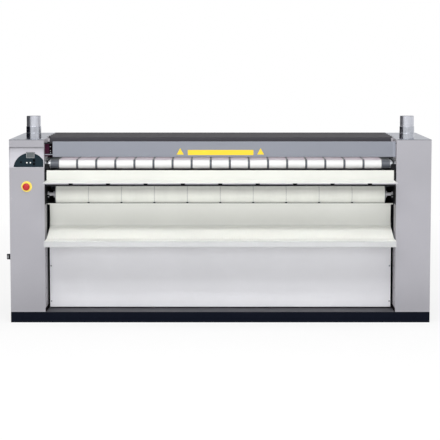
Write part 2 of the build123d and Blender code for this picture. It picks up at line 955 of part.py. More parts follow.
# ================================================================ stripper
stripper_depth = cylinder_depth - stripper_ahead
with BuildPart() as stripper_bar:
    bar_low = exit_roller.height + exit_roller.radius + band_lift + stripper_lift
    bar = [
        at(stripper_depth, bar_low + stripper_height),
        at(stripper_depth, bar_low),
        at(stripper_depth + stripper_width, bar_low),
        at(stripper_depth + stripper_width, bar_low + stripper_height / 3),
        at(stripper_depth + stripper_width / 3, bar_low + stripper_height),
    ]
    with BuildSketch(Plane.YZ.offset(-frame_in)):
        with BuildLine():
            Polyline(*bar, close=True)
        make_face()
    extrude(amount=2 * frame_in)
    finger_height = bar_low + stripper_height / 4
    drop = cylinder_height - finger_height
    finger_tip = cylinder_depth - (cylinder_radius**2 - drop**2) ** 0.5 - finger_gap
    for index in range(finger_count):
        middle = (index - (finger_count - 1) / 2) * working_width / finger_count
        with BuildSketch(Plane.YZ.offset(middle - finger_width / 2)):
            with BuildLine():
                Polyline(
                    at(stripper_depth + stripper_width / 2, bar_low + sheet),
                    at(finger_tip, bar_low + stripper_height / 4),
                    at(stripper_depth + stripper_width / 2, bar_low + stripper_height / 2),
                    close=True,
                )
            make_face()
        extrude(amount=finger_width)
save(stripper_bar, "stripper_bar")

# ================================================================ exhaust ducts
with BuildPart() as duct_collars:
    with BuildSketch(Plane.XZ.offset(-duct_at[1])):
        with BuildLine():
            low = body_height
            joint = low + collar_joint
            high = low + collar_height
            wall = duct_x + collar_radius
            bore = duct_x + pipe_radius - pipe_swage + swage_gap
            Polyline(
                (bore, low),
                (duct_x + collar_flange, low),
                (duct_x + collar_flange, low + sheet),
                (wall, low + sheet),
                (wall, joint - collar_bead),
                (wall + collar_bead, joint),
                (wall, joint + collar_bead),
                (wall, high - collar_bead),
                (wall - collar_bead, high),
                (bore, high),
                close=True,
            )
        make_face()
    revolve(axis=Axis((duct_x, duct_at[1], 0), (0, 0, 1)))
    mirror(about=Plane.YZ)
save(duct_collars, "duct_collars")

with BuildPart() as duct_pipes:
    with BuildSketch(Plane.XZ.offset(-duct_at[1])):
        with BuildLine():
            shoulder = body_height + collar_height
            mouth = shoulder + pipe_rise
            wide = duct_x + pipe_radius
            narrow = wide - pipe_swage
            Polyline(
                (narrow - pipe_wall, body_height),
                (narrow, body_height),
                (narrow, shoulder),
                (wide, shoulder),
                (wide, mouth),
                (wide - pipe_wall, mouth),
                (wide - pipe_wall, shoulder + pipe_wall),
                (narrow - pipe_wall, shoulder + pipe_wall),
                close=True,
            )
        make_face()
    revolve(axis=Axis((duct_x, duct_at[1], 0), (0, 0, 1)))
    mirror(about=Plane.YZ)
save(duct_pipes, "duct_pipes")


def fan_scroll(radius, outlet, x):
    """Side view of a fan casing: a round scroll with a straight outlet going up at its front."""
    with BuildSketch(Plane.YZ.offset(x)) as scroll:
        with Locations(fan_centre):
            Circle(radius)
        with Locations((front + duct_depth, fan_centre[1])):
            Rectangle(outlet, fan_drop, align=(Align.CENTER, Align.MIN))
    return scroll.sketch


fan_start = duct_x - fan_width / 2
fan_end = duct_x + fan_width / 2
with BuildPart() as fan_housings:
    extrude(fan_scroll(fan_radius, fan_width, fan_start), amount=fan_width)
    inside = fan_width - 2 * sheet
    extrude(fan_scroll(fan_radius - sheet, inside, fan_start + sheet), amount=inside, mode=Mode.SUBTRACT)
    with BuildSketch(Plane.YZ.offset(frame_out)):
        with Locations(fan_centre):
            Circle(inlet_radius + sheet)
    extrude(amount=fan_start - frame_out)
    with BuildSketch(Plane.YZ.offset(frame_out)):
        with Locations(fan_centre):
            Circle(inlet_radius)
    extrude(amount=fan_start + sheet - frame_out, mode=Mode.SUBTRACT)
    with BuildSketch(Plane.YZ.offset(fan_end)):
        with Locations(fan_centre):
            Circle(fan_motor_radius)
    extrude(amount=fan_motor_length)
    with BuildSketch(Plane.YZ.offset(fan_end - sheet)):
        with Locations(fan_centre):
            Circle(fan_shaft_radius + shaft_gap)
    extrude(amount=sheet + fan_motor_length / 2, mode=Mode.SUBTRACT)
    mirror(about=Plane.YZ)
save(fan_housings, "fan_housings")


def fan_impeller(side):
    """Back plate with forward blades, on the shaft that runs in the motor."""
    plate_start = fan_end - 2 * sheet - impeller_plate
    with BuildPart() as impeller:
        with BuildSketch(Plane.YZ.offset(side * plate_start)):
            with Locations(fan_centre):
                Circle(impeller_radius)
        extrude(amount=side * impeller_plate)
        with BuildSketch(Plane.YZ.offset(side * plate_start)):
            with Locations(fan_centre):
                with PolarLocations(blade_circle, blade_count):
                    Rectangle(blade_chord, blade_thickness, rotation=side * blade_lean)
        extrude(amount=-side * impeller_width)
        with BuildSketch(Plane.YZ.offset(side * (plate_start - impeller_width / 2))):
            with Locations(fan_centre):
                Circle(fan_shaft_radius)
        extrude(amount=side * (fan_end - plate_start + impeller_width / 2 + fan_motor_length / 2 - sheet))
    return impeller


save(fan_impeller(-1), "fan_impeller_left")
save(fan_impeller(1), "fan_impeller_right")

# ================================================================ drive
motor = Roller(cylinder_depth, motor_height, motor_pulley_radius, motor_shaft_radius)
gearbox_start = journal_end + 2 * belt_thickness
with BuildPart() as motor_pulley:
    hub = motor.journal + pulley_web
    revolve(pulley_section(motor.plane, pulley_start, motor.radius, hub, 0), axis=motor.axis)
    with BuildSketch(Plane.YZ.offset(pulley_start)):
        with Locations(motor.place):
            Circle(motor.journal)
    extrude(amount=gearbox_start + gearbox_width / 2 - pulley_start)
save(motor_pulley, "motor_pulley")

with BuildPart() as drive_belt:
    drive_loop = [(cylinder.place, cylinder_pulley_radius, 1), (motor.place, motor.radius, 1)]
    belt_start = pulley_start + (pulley_width - belt_width) / 2
    extrude(loop_ring(drive_loop, run_gap, belt_thickness, belt_start), amount=belt_width)
save(drive_belt, "drive_belt")

with BuildPart() as gearmotor:
    gearbox_middle = gearbox_start + gearbox_width / 2
    with BuildSketch(Plane.XZ.offset(-motor.place[0] + gearbox_side / 2)):
        with Locations((gearbox_middle, motor.height)):
            RectangleRounded(gearbox_width, gearbox_side, 4 * sheet)
    extrude(amount=-gearbox_side)
    with BuildSketch(Plane.XZ.offset(-motor.place[0] - gearbox_side / 2)):
        with Locations((gearbox_middle, motor.height)):
            Circle(motor_radius)
    extrude(amount=-motor_length)
    pedestal = motor.height - gearbox_side / 2 - plinth_height
    with BuildSketch(Plane.XY.offset(plinth_height)):
        with Locations((gearbox_middle, motor.place[0])):
            Rectangle(gearbox_width, gearbox_side)
            Rectangle(gearbox_width - 4 * belt_thickness, gearbox_side, mode=Mode.SUBTRACT)
    extrude(amount=pedestal)
    with BuildSketch(Plane.YZ.offset(gearbox_start)):
        with Locations(motor.place):
            Circle(motor.journal + shaft_gap)
    extrude(amount=gearbox_width / 2 + sheet, mode=Mode.SUBTRACT)
save(gearmotor, "gearmotor")

# ================================================================ heater inside the cylinder
bearing_face = frame_out + cylinder_bearing_width
terminal_start = journal_end + pulley_gap
element_half = cylinder_half - element_circle
with BuildPart() as heater_bundle:
    with BuildSketch(Plane.YZ.offset(-terminal_start)):
        with Locations(cylinder.place):
            Circle(heater_tube_radius)
    extrude(amount=terminal_start + cylinder_half)
    with BuildSketch(Plane.YZ.offset(-element_half)):
        with Locations(cylinder.place):
            with PolarLocations(element_circle, element_count):
                RegularPolygon(element_radius, 8)
    extrude(amount=2 * element_half)
    for index in range(spider_count):
        place = (index - (spider_count - 1) / 2) * (2 * element_half - element_circle) / (spider_count - 1)
        with BuildSketch(Plane.YZ.offset(place)):
            with Locations(cylinder.place):
                RegularPolygon(element_circle + 2 * element_radius, element_count, major_radius=True)
        extrude(amount=2 * sheet)
    with BuildSketch(Plane.YZ.offset(-terminal_start)):
        with Locations(cylinder.place):
            Rectangle(terminal_side, terminal_side)
    extrude(amount=-terminal_depth)
    arm_thickness = terminal_side / 2 - cylinder.journal - hole_gap
    for end in (-1, 1):
        with BuildSketch(Plane.YZ.offset(-terminal_start)):
            with Locations((cylinder.place[0] + end * (terminal_side - arm_thickness) / 2, cylinder.height)):
                Rectangle(arm_thickness, terminal_side / 2)
        extrude(amount=terminal_start - bearing_face)
save(heater_bundle, "heater_bundle")

with BuildPart() as electrical_box:
    width, length = electrical_box_size
    box_low = plinth_height + electrical_box_foot
    with BuildSketch(Plane.XY.offset(box_low)):
        with Locations((-frame_out - width / 2, front + electrical_box_depth + length / 2)):
            RectangleRounded(width, length, 2 * sheet)
    extrude(amount=cylinder_height - electrical_box_drop - box_low)
save(electrical_box, "electrical_box")

# ================================================================ control panel
fascia_rise = fascia_crease - fascia_bottom
fascia_length = hypot(fascia_rise, fascia_recess)
fascia_normal = (0, -fascia_rise / fascia_length, fascia_recess / fascia_length)
fascia_plane = Plane(origin=(0, front, fascia_bottom), x_dir=(1, 0, 0), z_dir=fascia_normal)


def on_fascia(across, rise):
    return (-outer + across, rise * fascia_length / fascia_rise)


round_spots = [(*on_fascia(across, rise), radius) for across, rise, radius in round_keys.values()]
square_spots = [(*on_fascia(across, rise), side) for across, rise, side in square_keys.values()]
key_row_left = min(x for x, up, radius in round_spots) - 3 * key_flange - round_spots[0][2]
key_row_right = max(x + side / 2 for x, up, side in square_spots) + 2 * key_flange
key_row_low = min(up - side / 2 for x, up, side in square_spots) - 2 * key_flange
key_row_high = max(up + side / 2 for x, up, side in square_spots) + 2 * key_flange

with BuildPart() as control_fascia:
    fascia_path = [
        at(0, cap_under),
        at(0, fascia_crease),
        at(fascia_recess, fascia_crease),
        at(0, fascia_bottom),
    ]
    with BuildSketch(Plane.YZ.offset(-outer)):
        with BuildLine():
            Polyline(*fascia_path)
            offset(amount=sheet, side=Side.LEFT)
        make_face()
    extrude(amount=column_width)
    for cheek in (-outer, -inner - sheet):
        with BuildSketch(Plane.YZ.offset(cheek)):
            with Locations(at(fold / 2, (fascia_bottom + cap_under) / 2)):
                Rectangle(fold, cap_under - fascia_bottom)
        extrude(amount=sheet)
    with BuildSketch(fascia_plane):
        with Locations(((key_row_left + key_row_right) / 2, (key_row_low + key_row_high) / 2)):
            Rectangle(key_row_right - key_row_left, key_row_high - key_row_low)
    extrude(amount=-2 * sheet, mode=Mode.SUBTRACT)
save(control_fascia, "control_fascia")

with BuildPart() as control_panel:
    with BuildSketch(fascia_plane):
        with Locations(on_fascia(*arch_centre)):
            Circle(arch_radius)
        with Locations(on_fascia(arch_cut, arch_chord)):
            Rectangle(
                3 * arch_radius, 2 * arch_radius, align=(Align.MAX, Align.MIN), mode=Mode.INTERSECT
            )
        with Locations(on_fascia(*display_place)):
            Rectangle(display_size[0] + 2 * display_rim, display_size[1] + 2 * display_rim)
        for x, up, radius in round_spots:
            with Locations((x, up)):
                Circle(radius + key_gap, mode=Mode.SUBTRACT)
        for x, up, side in square_spots:
            with Locations((x, up)):
                RectangleRounded(
                    side + 2 * key_gap, side + 2 * key_gap, key_flange + key_gap, mode=Mode.SUBTRACT
                )
    extrude(amount=control_plate)
save(control_panel, "control_panel")

with BuildPart() as display_window:
    with BuildSketch(fascia_plane.offset(control_plate)):
        with Locations(on_fascia(*display_place)):
            RectangleRounded(*display_size, display_rim)
    extrude(amount=display_thickness)
save(display_window, "display_window")


def save_key(label, spot, outline, collar):
    """A push key: cap and stem through the control panel, with a collar held behind it."""
    with BuildPart() as key:
        with BuildSketch(fascia_plane.offset(-key_depth)):
            with Locations(spot):
                outline(0)
        extrude(amount=key_depth + control_plate + key_proud)
        with BuildSketch(fascia_plane.offset(-key_gap)):
            with Locations(spot):
                outline(collar)
        extrude(amount=-key_collar)
    save(key, label)


for label, (x, up, radius) in zip(round_keys, round_spots):
    save_key(label, (x, up), lambda more: Circle(radius + more), key_flange)
for label, (x, up, side) in zip(square_keys, square_spots):
    save_key(
        label,
        (x, up),
        lambda more: RectangleRounded(side + 2 * more, side + 2 * more, key_flange),
        key_flange / 2,
    )

# ================================================================ emergency stop
stop_plane = Plane(origin=(stop_x, front, stop_height), x_dir=(1, 0, 0), z_dir=(0, -1, 0))
stop_axis = Axis(stop_plane.origin, stop_plane.z_dir)
stop_bore = stop_stem_radius + shaft_gap


def turned(plane, points):
    """Half section of a turned piece from (out along the axis, radius) points."""
    across = Plane(origin=plane.origin, x_dir=plane.z_dir, z_dir=plane.x_dir)
    with BuildSketch(across) as half:
        with BuildLine():
            Polyline(*points, close=True)
        make_face()
    return half.sketch


with BuildPart() as e_stop_base:
    stop_base_points = [
        (-stop_barrel, stop_bore),
        (-stop_barrel, stop_barrel_radius),
        (0, stop_barrel_radius),
        (0, stop_plate_radius),
        (stop_plate, stop_plate_radius),
        (stop_plate, stop_collar_radius),
        (stop_collar, stop_collar_radius),
        (stop_collar, stop_bore),
    ]
    revolve(turned(stop_plane, stop_base_points), axis=stop_axis)
    with BuildSketch(stop_plane.offset(-stop_barrel)):
        RectangleRounded(stop_block, stop_block, 2 * sheet)
        Circle(stop_bore, mode=Mode.SUBTRACT)
    extrude(amount=stop_barrel / 2)
save(e_stop_base, "e_stop_base")

with BuildPart() as e_stop_stem:
    stem_points = [
        (-stop_barrel / 2, 0),
        (-stop_barrel / 2, stop_stem_radius),
        (stop_head_end - 2 * stop_plate, stop_stem_radius),
        (stop_head_end - 2 * stop_plate, 0),
    ]
    revolve(turned(stop_plane, stem_points), axis=stop_axis)
save(e_stop_stem, "e_stop_stem")

with BuildPart() as e_stop_button:
    head_points = [
        (stop_head_start, stop_bore),
        (stop_head_start, stop_collar_radius),
        (stop_head_start + 2 * stop_plate, stop_head_radius),
        (stop_head_end - 3 * stop_plate, stop_head_radius),
        (stop_head_end - stop_plate, stop_head_radius - 2 * stop_plate),
        (stop_head_end, stop_head_radius / 2),
        (stop_head_end, 0),
        (stop_head_end - 2 * stop_plate + shaft_gap, 0),
        (stop_head_end - 2 * stop_plate + shaft_gap, stop_bore),
    ]
    revolve(turned(stop_plane, head_points), axis=stop_axis)
save(e_stop_button, "e_stop_button")

# ================================================================ isolator
isolator_origin = (-outer, front + isolator_depth, isolator_height)
isolator_plane = Plane(origin=isolator_origin, x_dir=(0, -1, 0), z_dir=(-1, 0, 0))
with BuildPart() as isolator_base:
    with BuildSketch(isolator_plane):
        RectangleRounded(isolator_plate_side, isolator_plate_side, 2 * sheet)
        Circle(knob_stem_radius + shaft_gap, mode=Mode.SUBTRACT)
    extrude(amount=isolator_plate)
    with BuildSketch(isolator_plane):
        Circle(isolator_body_side / 2 - 2 * sheet)
        Circle(knob_stem_radius + shaft_gap, mode=Mode.SUBTRACT)
    extrude(amount=-2 * sheet)
    with BuildSketch(isolator_plane.offset(-2 * sheet)):
        Rectangle(isolator_body_side, isolator_body_side)
    extrude(amount=-isolator_body)
    with BuildSketch(isolator_plane):
        Circle(knob_stem_radius + shaft_gap)
    extrude(amount=-knob_stem, mode=Mode.SUBTRACT)
save(isolator_base, "isolator_base")

with BuildPart() as isolator_knob:
    knob_start = isolator_plate + run_gap
    with BuildSketch(isolator_plane.offset(knob_start)):
        Circle(knob_radius)
    extrude(amount=knob_disc)
    with BuildSketch(isolator_plane.offset(knob_start + knob_disc)):
        RectangleRounded(knob_grip_width, 2 * knob_radius - sheet, knob_grip_width / 3)
    extrude(amount=knob_grip, taper=knob_taper)
    with BuildSketch(isolator_plane.offset(knob_start)):
        Circle(knob_stem_radius)
    extrude(amount=-knob_start - knob_stem + sheet)
save(isolator_knob, "isolator_knob")
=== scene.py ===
import bpy
import bmesh
import json
import math
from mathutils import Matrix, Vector

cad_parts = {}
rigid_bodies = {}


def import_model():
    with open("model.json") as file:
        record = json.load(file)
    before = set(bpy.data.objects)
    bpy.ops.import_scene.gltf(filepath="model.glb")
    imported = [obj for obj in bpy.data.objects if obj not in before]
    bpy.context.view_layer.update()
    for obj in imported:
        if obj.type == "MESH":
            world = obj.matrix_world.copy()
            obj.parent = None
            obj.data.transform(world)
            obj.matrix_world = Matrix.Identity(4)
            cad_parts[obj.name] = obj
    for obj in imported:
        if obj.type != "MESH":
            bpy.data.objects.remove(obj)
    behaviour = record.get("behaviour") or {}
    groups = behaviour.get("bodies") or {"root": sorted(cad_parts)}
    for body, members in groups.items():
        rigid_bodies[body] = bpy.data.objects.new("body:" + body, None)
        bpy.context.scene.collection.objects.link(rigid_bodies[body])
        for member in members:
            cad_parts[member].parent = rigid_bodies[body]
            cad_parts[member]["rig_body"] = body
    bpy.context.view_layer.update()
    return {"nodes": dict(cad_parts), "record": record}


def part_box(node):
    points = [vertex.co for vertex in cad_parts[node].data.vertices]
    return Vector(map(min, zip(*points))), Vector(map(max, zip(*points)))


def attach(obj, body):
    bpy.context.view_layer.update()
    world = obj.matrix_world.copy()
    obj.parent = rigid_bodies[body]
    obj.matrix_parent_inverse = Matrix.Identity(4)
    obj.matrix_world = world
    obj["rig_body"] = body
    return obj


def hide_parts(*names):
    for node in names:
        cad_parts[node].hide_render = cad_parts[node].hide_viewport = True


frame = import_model()
scene = bpy.context.scene
print("frame loaded")


class wire:
    # a node's output, with arithmetic that adds Math nodes
    def __init__(self, owner, socket):
        self.owner = owner
        self.socket = socket

    def maths(self, operation, *values):
        return self.owner.add("ShaderNodeMath", {"operation": operation}, dict(enumerate([self, *values])))

    def flipped(self, operation, first):
        return self.owner.add("ShaderNodeMath", {"operation": operation}, {0: first, 1: self})

    def other(self, name):
        # another output of the same node
        return wire(self.owner, self.socket.node.outputs[name])

    def __add__(self, value):
        return self.maths("ADD", value)

    def __radd__(self, value):
        return self.flipped("ADD", value)

    def __sub__(self, value):
        return self.maths("SUBTRACT", value)

    def __rsub__(self, value):
        return self.flipped("SUBTRACT", value)

    def __mul__(self, value):
        return self.maths("MULTIPLY", value)

    def __rmul__(self, value):
        return self.flipped("MULTIPLY", value)

    def __truediv__(self, value):
        return self.maths("DIVIDE", value)

    def __rtruediv__(self, value):
        return self.flipped("DIVIDE", value)

    def __neg__(self):
        return self.maths("MULTIPLY", -1)

    def __abs__(self):
        return self.maths("ABSOLUTE")


class graph:
    # any node tree, with one way to add a node
    def __init__(self, tree):
        self.tree = tree

    def add(self, kind, settings=None, values=None, out=0):
        made = self.tree.nodes.new(kind)
        for key, value in (settings or {}).items():
            setattr(made, key, value)
        for key, value in (values or {}).items():
            self.plug(made.inputs[key], value)
        return wire(self, made.outputs[out])

    def plug(self, socket, value):
        if isinstance(value, wire):
            self.tree.links.new(value.socket, socket)
        else:
            socket.default_value = value


class look(graph):
    # one material with the words that its recipe uses
    def __init__(self, name, **fixed):
        self.material = bpy.data.materials.new(name)
        self.material.use_nodes = True
        super().__init__(self.material.node_tree)
        self.shader = self.tree.nodes["Principled BSDF"]
        for key, value in fixed.items():
            self.shader.inputs[inputName[key]].default_value = value
        self.place = self.add("ShaderNodeTexCoord", out="Object")

    def axis(self, letter):
        return self.add("ShaderNodeSeparateXYZ", None, {"Vector": self.place}, letter)

    def mix(self, factor, first, second):
        return self.add("ShaderNodeMix", {"data_type": "RGBA"}, {0: factor, 6: first, 7: second}, out=2)

    def stretched(self, x, y, z):
        return self.add("ShaderNodeMapping", None, {"Vector": self.place, "Scale": (x, y, z)})

    def noise(self, scale, detail=2, place=None, roughness=0.5):
        values = {"Vector": place or self.place, "Scale": scale, "Detail": detail, "Roughness": roughness}
        return self.add("ShaderNodeTexNoise", None, values)

    def ramp(self, value, low, high, bottom=0, top=1):
        values = {"Value": value, "From Min": low, "From Max": high, "To Min": bottom, "To Max": top}
        return self.add("ShaderNodeMapRange", None, values)

    def withPaintedShading(self, colour, steps):
        # painted light and shade by height: the colour times a gain that sets in between two heights, for
        # each of the steps
        if not steps:
            return colour
        gain = 1.0
        for start, end, change in steps:
            gain = (1.0 + self.ramp(self.axis("Z"), start, end) * (change - 1)) * gain
        settings = {"data_type": "RGBA", "blend_type": "MULTIPLY"}
        return self.add("ShaderNodeMix", settings, {0: 1.0, 6: colour, 7: gain}, out=2)

    def bump(self, height, distance):
        raised = self.add("ShaderNodeBump", None, {"Height": height, "Distance": distance})
        self.plug(self.shader.inputs["Normal"], raised)

    def feed(self, **links):
        for key, value in links.items():
            self.plug(self.shader.inputs[inputName[key]], value)


inputName = {
    "baseColor": "Base Color",
    "metallic": "Metallic",
    "roughness": "Roughness",
    "sheen": "Sheen Weight",
    "sheenRoughness": "Sheen Roughness",
    "specular": "Specular IOR Level",
}


def shade(red, green, blue):
    # a colour as read on a screen, 0 to 255, in the shader's linear terms
    parts = []
    for part in (red, green, blue):
        part = part / 255
        parts.append(part / 12.92 if part <= 0.04045 else ((part + 0.055) / 1.055) ** 2.4)
    return (*parts, 1)


def darker(colour, share):
    return (colour[0] * share, colour[1] * share, colour[2] * share, 1)


def brushedSteel(name, colour, along, grain=90, roughness=0.34, metal=0.85, foot=1.0, paintedShading=()):
    # along: how finely the marks lie on each axis, 60 across them and 1 with them
    # foot: how much darker the sheet is near the floor, a painted reflection of the dark floor
    made = look(name, metallic=metal, specular=0.4)
    streak = made.noise(grain, 3, made.stretched(*along))
    cloud = made.noise(2.2, 3)
    smudge = made.noise(7, 5, roughness=0.7)  # where hands and cloths have been
    tone = made.ramp(streak * 0.6 + cloud * 0.4, 0.3, 0.7)
    plain = made.mix(tone, darker(colour, 0.93), darker(colour, 1.05))
    # painted reflection of the dark floor: the sheet darker low down
    if foot != 1:
        floorReflectionTone = made.mix(tone, darker(colour, 0.93 * foot), darker(colour, 1.05 * foot))
        height = made.axis("Z")
        low = made.ramp(height, 0.14, 0.5, 1, 0) * made.ramp(height, 0.096, 0.1, 0, 1)
        plain = made.mix(low, plain, floorReflectionTone)
    brushed = made.ramp(streak, 0.3, 0.7, roughness - 0.05, roughness + 0.07)
    made.feed(
        baseColor=made.withPaintedShading(plain, paintedShading),
        roughness=brushed + made.ramp(smudge, 0.5, 0.8, 0, 0.08),
    )
    made.bump(streak, 0.00005)
    return made.material


def paint(name, colour, roughness=0.42, peel=0.00012, wear=0.05, specular=0.4, rub=0.05, rim=None, paintedShading=()):
    # powder coat: fine orange peel, slow unevenness and rubbed patches
    # rim: how far out the painted highlight on a sheet's ends starts, and how much lighter it makes them
    made = look(name, specular=specular)
    cloud = made.noise(1.7, 4)
    rubbed = made.noise(11, 6, roughness=0.65)
    tone = made.ramp(cloud, 0.3, 0.7) * 0.8 + made.ramp(rubbed, 0.45, 0.7) * 0.2
    plain = made.mix(tone, darker(colour, 1 - wear), darker(colour, 1 + wear / 3))
    # painted highlight: the sheet's ends lighter
    if rim:
        ends = made.ramp(abs(made.axis("X")), rim[0], rim[0] + 0.002)
        plain = made.mix(ends, plain, darker(colour, rim[1]))
    made.feed(
        baseColor=made.withPaintedShading(plain, paintedShading),
        roughness=made.ramp(rubbed, 0.3, 0.7, roughness - rub, roughness + rub),
    )
    made.bump(made.noise(420, 1), peel)
    return made.material


def galvanised(name, colour, roughness=0.34, metal=0.85, spangled=0.35):
    # spangled: how far zinc crystals, and not drawing marks, make the pattern
    made = look(name, metallic=metal, specular=0.5)
    crystals = {"Vector": made.place, "Scale": 75}
    spangle = made.add("ShaderNodeTexVoronoi", {"feature": "F1"}, crystals, "Color")
    tone = made.add("ShaderNodeSeparateColor", None, {"Color": spangle}, "Red")
    drawn = made.noise(6, 3, made.stretched(14, 14, 0.7))  # marks down the rolled sheet
    pattern = tone * spangled + drawn * (1 - spangled)
    made.feed(
        baseColor=made.mix(pattern, darker(colour, 0.72), darker(colour, 1.2)),
        roughness=made.ramp(tone, 0, 1, roughness - 0.17 * spangled, roughness + 0.28 * spangled),
    )
    made.bump(tone, 0.00004)
    return made.material


def weave(made, pitch):
    # two crossed sets of ribs
    turn = 2 * math.pi / pitch
    run = made.axis("Z") + made.axis("Y")
    return (made.axis("X") * turn).maths("SINE") * (run * turn).maths("SINE")


def bandCloth(name, colour, pitch=0.0016, bandWidth=0.28, halfWidth=1.4):
    # padded ironing band: needled cloth, sewn along both edges and a little darker along them
    made = look(name, roughness=0.92, sheen=0.12, sheenRoughness=0.5, specular=0.15)
    edge = (made.axis("X") + halfWidth).maths("PINGPONG", bandWidth / 2)
    edgeDarkening = made.ramp(edge + made.noise(30, 3) * 0.006, 0.003, 0.012)
    sewn = made.ramp(abs(edge - 0.007), 0.0006, 0.0012, 1, 0)
    dash = ((made.axis("Z") - made.axis("Y")) * (2 * math.pi / 0.006)).maths("SINE")
    stain = made.noise(2.6, 5, made.stretched(3, 1, 1), 0.6)
    tone = made.ramp(stain, 0.3, 0.7) * 0.75 + made.noise(800, 2) * 0.25
    plain = made.mix(tone, darker(colour, 0.92), darker(colour, 1.03))
    made.feed(baseColor=made.mix(edgeDarkening, darker(colour, 0.9), plain))
    made.bump(weave(made, pitch) * 0.4 + made.noise(900, 2) - sewn * dash.maths("MAXIMUM", 0), 0.0003)
    return made.material


def feedCloth(
    name, colour, tint, pitch=0.0012, bandWidth=0.16, darkEdgeWidth=0.0098, paintedTintSpan=(-0.532, -0.505), below=(1.315, 1.33)
):
    # narrow feed band: close white weave, with a painted pinkish shading tint on the run behind the roller
    # the span along y: how far back the painted tint sets in; below: the heights between which the lower run
    # darkens, a painted shadow
    made = look(name, roughness=0.85, sheen=0.1, sheenRoughness=0.5, specular=0.15)
    paintedTintShare = made.ramp(made.axis("Y"), *paintedTintSpan)
    under = made.ramp(made.axis("Z"), *below, 1, 0)
    fibre = made.noise(900, 2)
    tone = made.ramp(made.noise(5, 4) * 0.7 + fibre * 0.3, 0.3, 0.7)
    gap = (made.axis("X") + bandWidth / 2).maths("PINGPONG", bandWidth / 2)
    # the band darkens to 0.3 of its colour along both edges
    darkEdgeShare = made.ramp(gap, darkEdgeWidth - 0.0004, darkEdgeWidth, 1, 0)
    plain = made.mix(tone, darker(colour, 0.95), darker(colour, 1.02))
    plain = made.mix(darkEdgeShare, plain, darker(colour, 0.3))
    # painted pinkish shading tint on the back run, with a painted shadow on its lower run
    made.feed(baseColor=made.mix(paintedTintShare, plain, made.mix(under, tint, darker(tint, 0.12))))
    made.bump(weave(made, pitch) * 0.5 + fibre, 0.0002)
    return made.material


def plastic(name, colour, roughness=0.35, grain=0.00005, specular=0.4):
    made = look(name, specular=specular)
    cloud = made.noise(14, 2)
    made.feed(
        baseColor=made.mix(cloud, darker(colour, 0.94), darker(colour, 1.04)),
        roughness=made.ramp(cloud, 0.2, 0.8, roughness - 0.04, roughness + 0.06),
    )
    made.bump(made.noise(1100, 1), grain)
    return made.material


def lampKey(name, colour, rimColour, x, z, radius=0.0052, specular=0.1):
    # a round key with a light window in a dark rim
    made = look(name, roughness=0.4, specular=specular)
    across, up = made.axis("X") - x, made.axis("Z") - z
    away = (across * across + up * up).maths("SQRT")
    window = made.ramp(away, radius, radius + 0.0006, 1, 0)
    made.feed(baseColor=made.mix(window, rimColour, colour))
    made.bump(made.noise(1100, 1), 0.00003)
    return made.material


def castIron(name, colour):
    made = look(name, metallic=0.4, specular=0.3)
    grit = made.noise(260, 4)
    made.feed(
        baseColor=made.mix(made.noise(12, 3), darker(colour, 0.8), darker(colour, 1.15)),
        roughness=made.ramp(grit, 0.2, 0.8, 0.5, 0.75),
    )
    made.bump(grit, 0.0004)
    return made.material


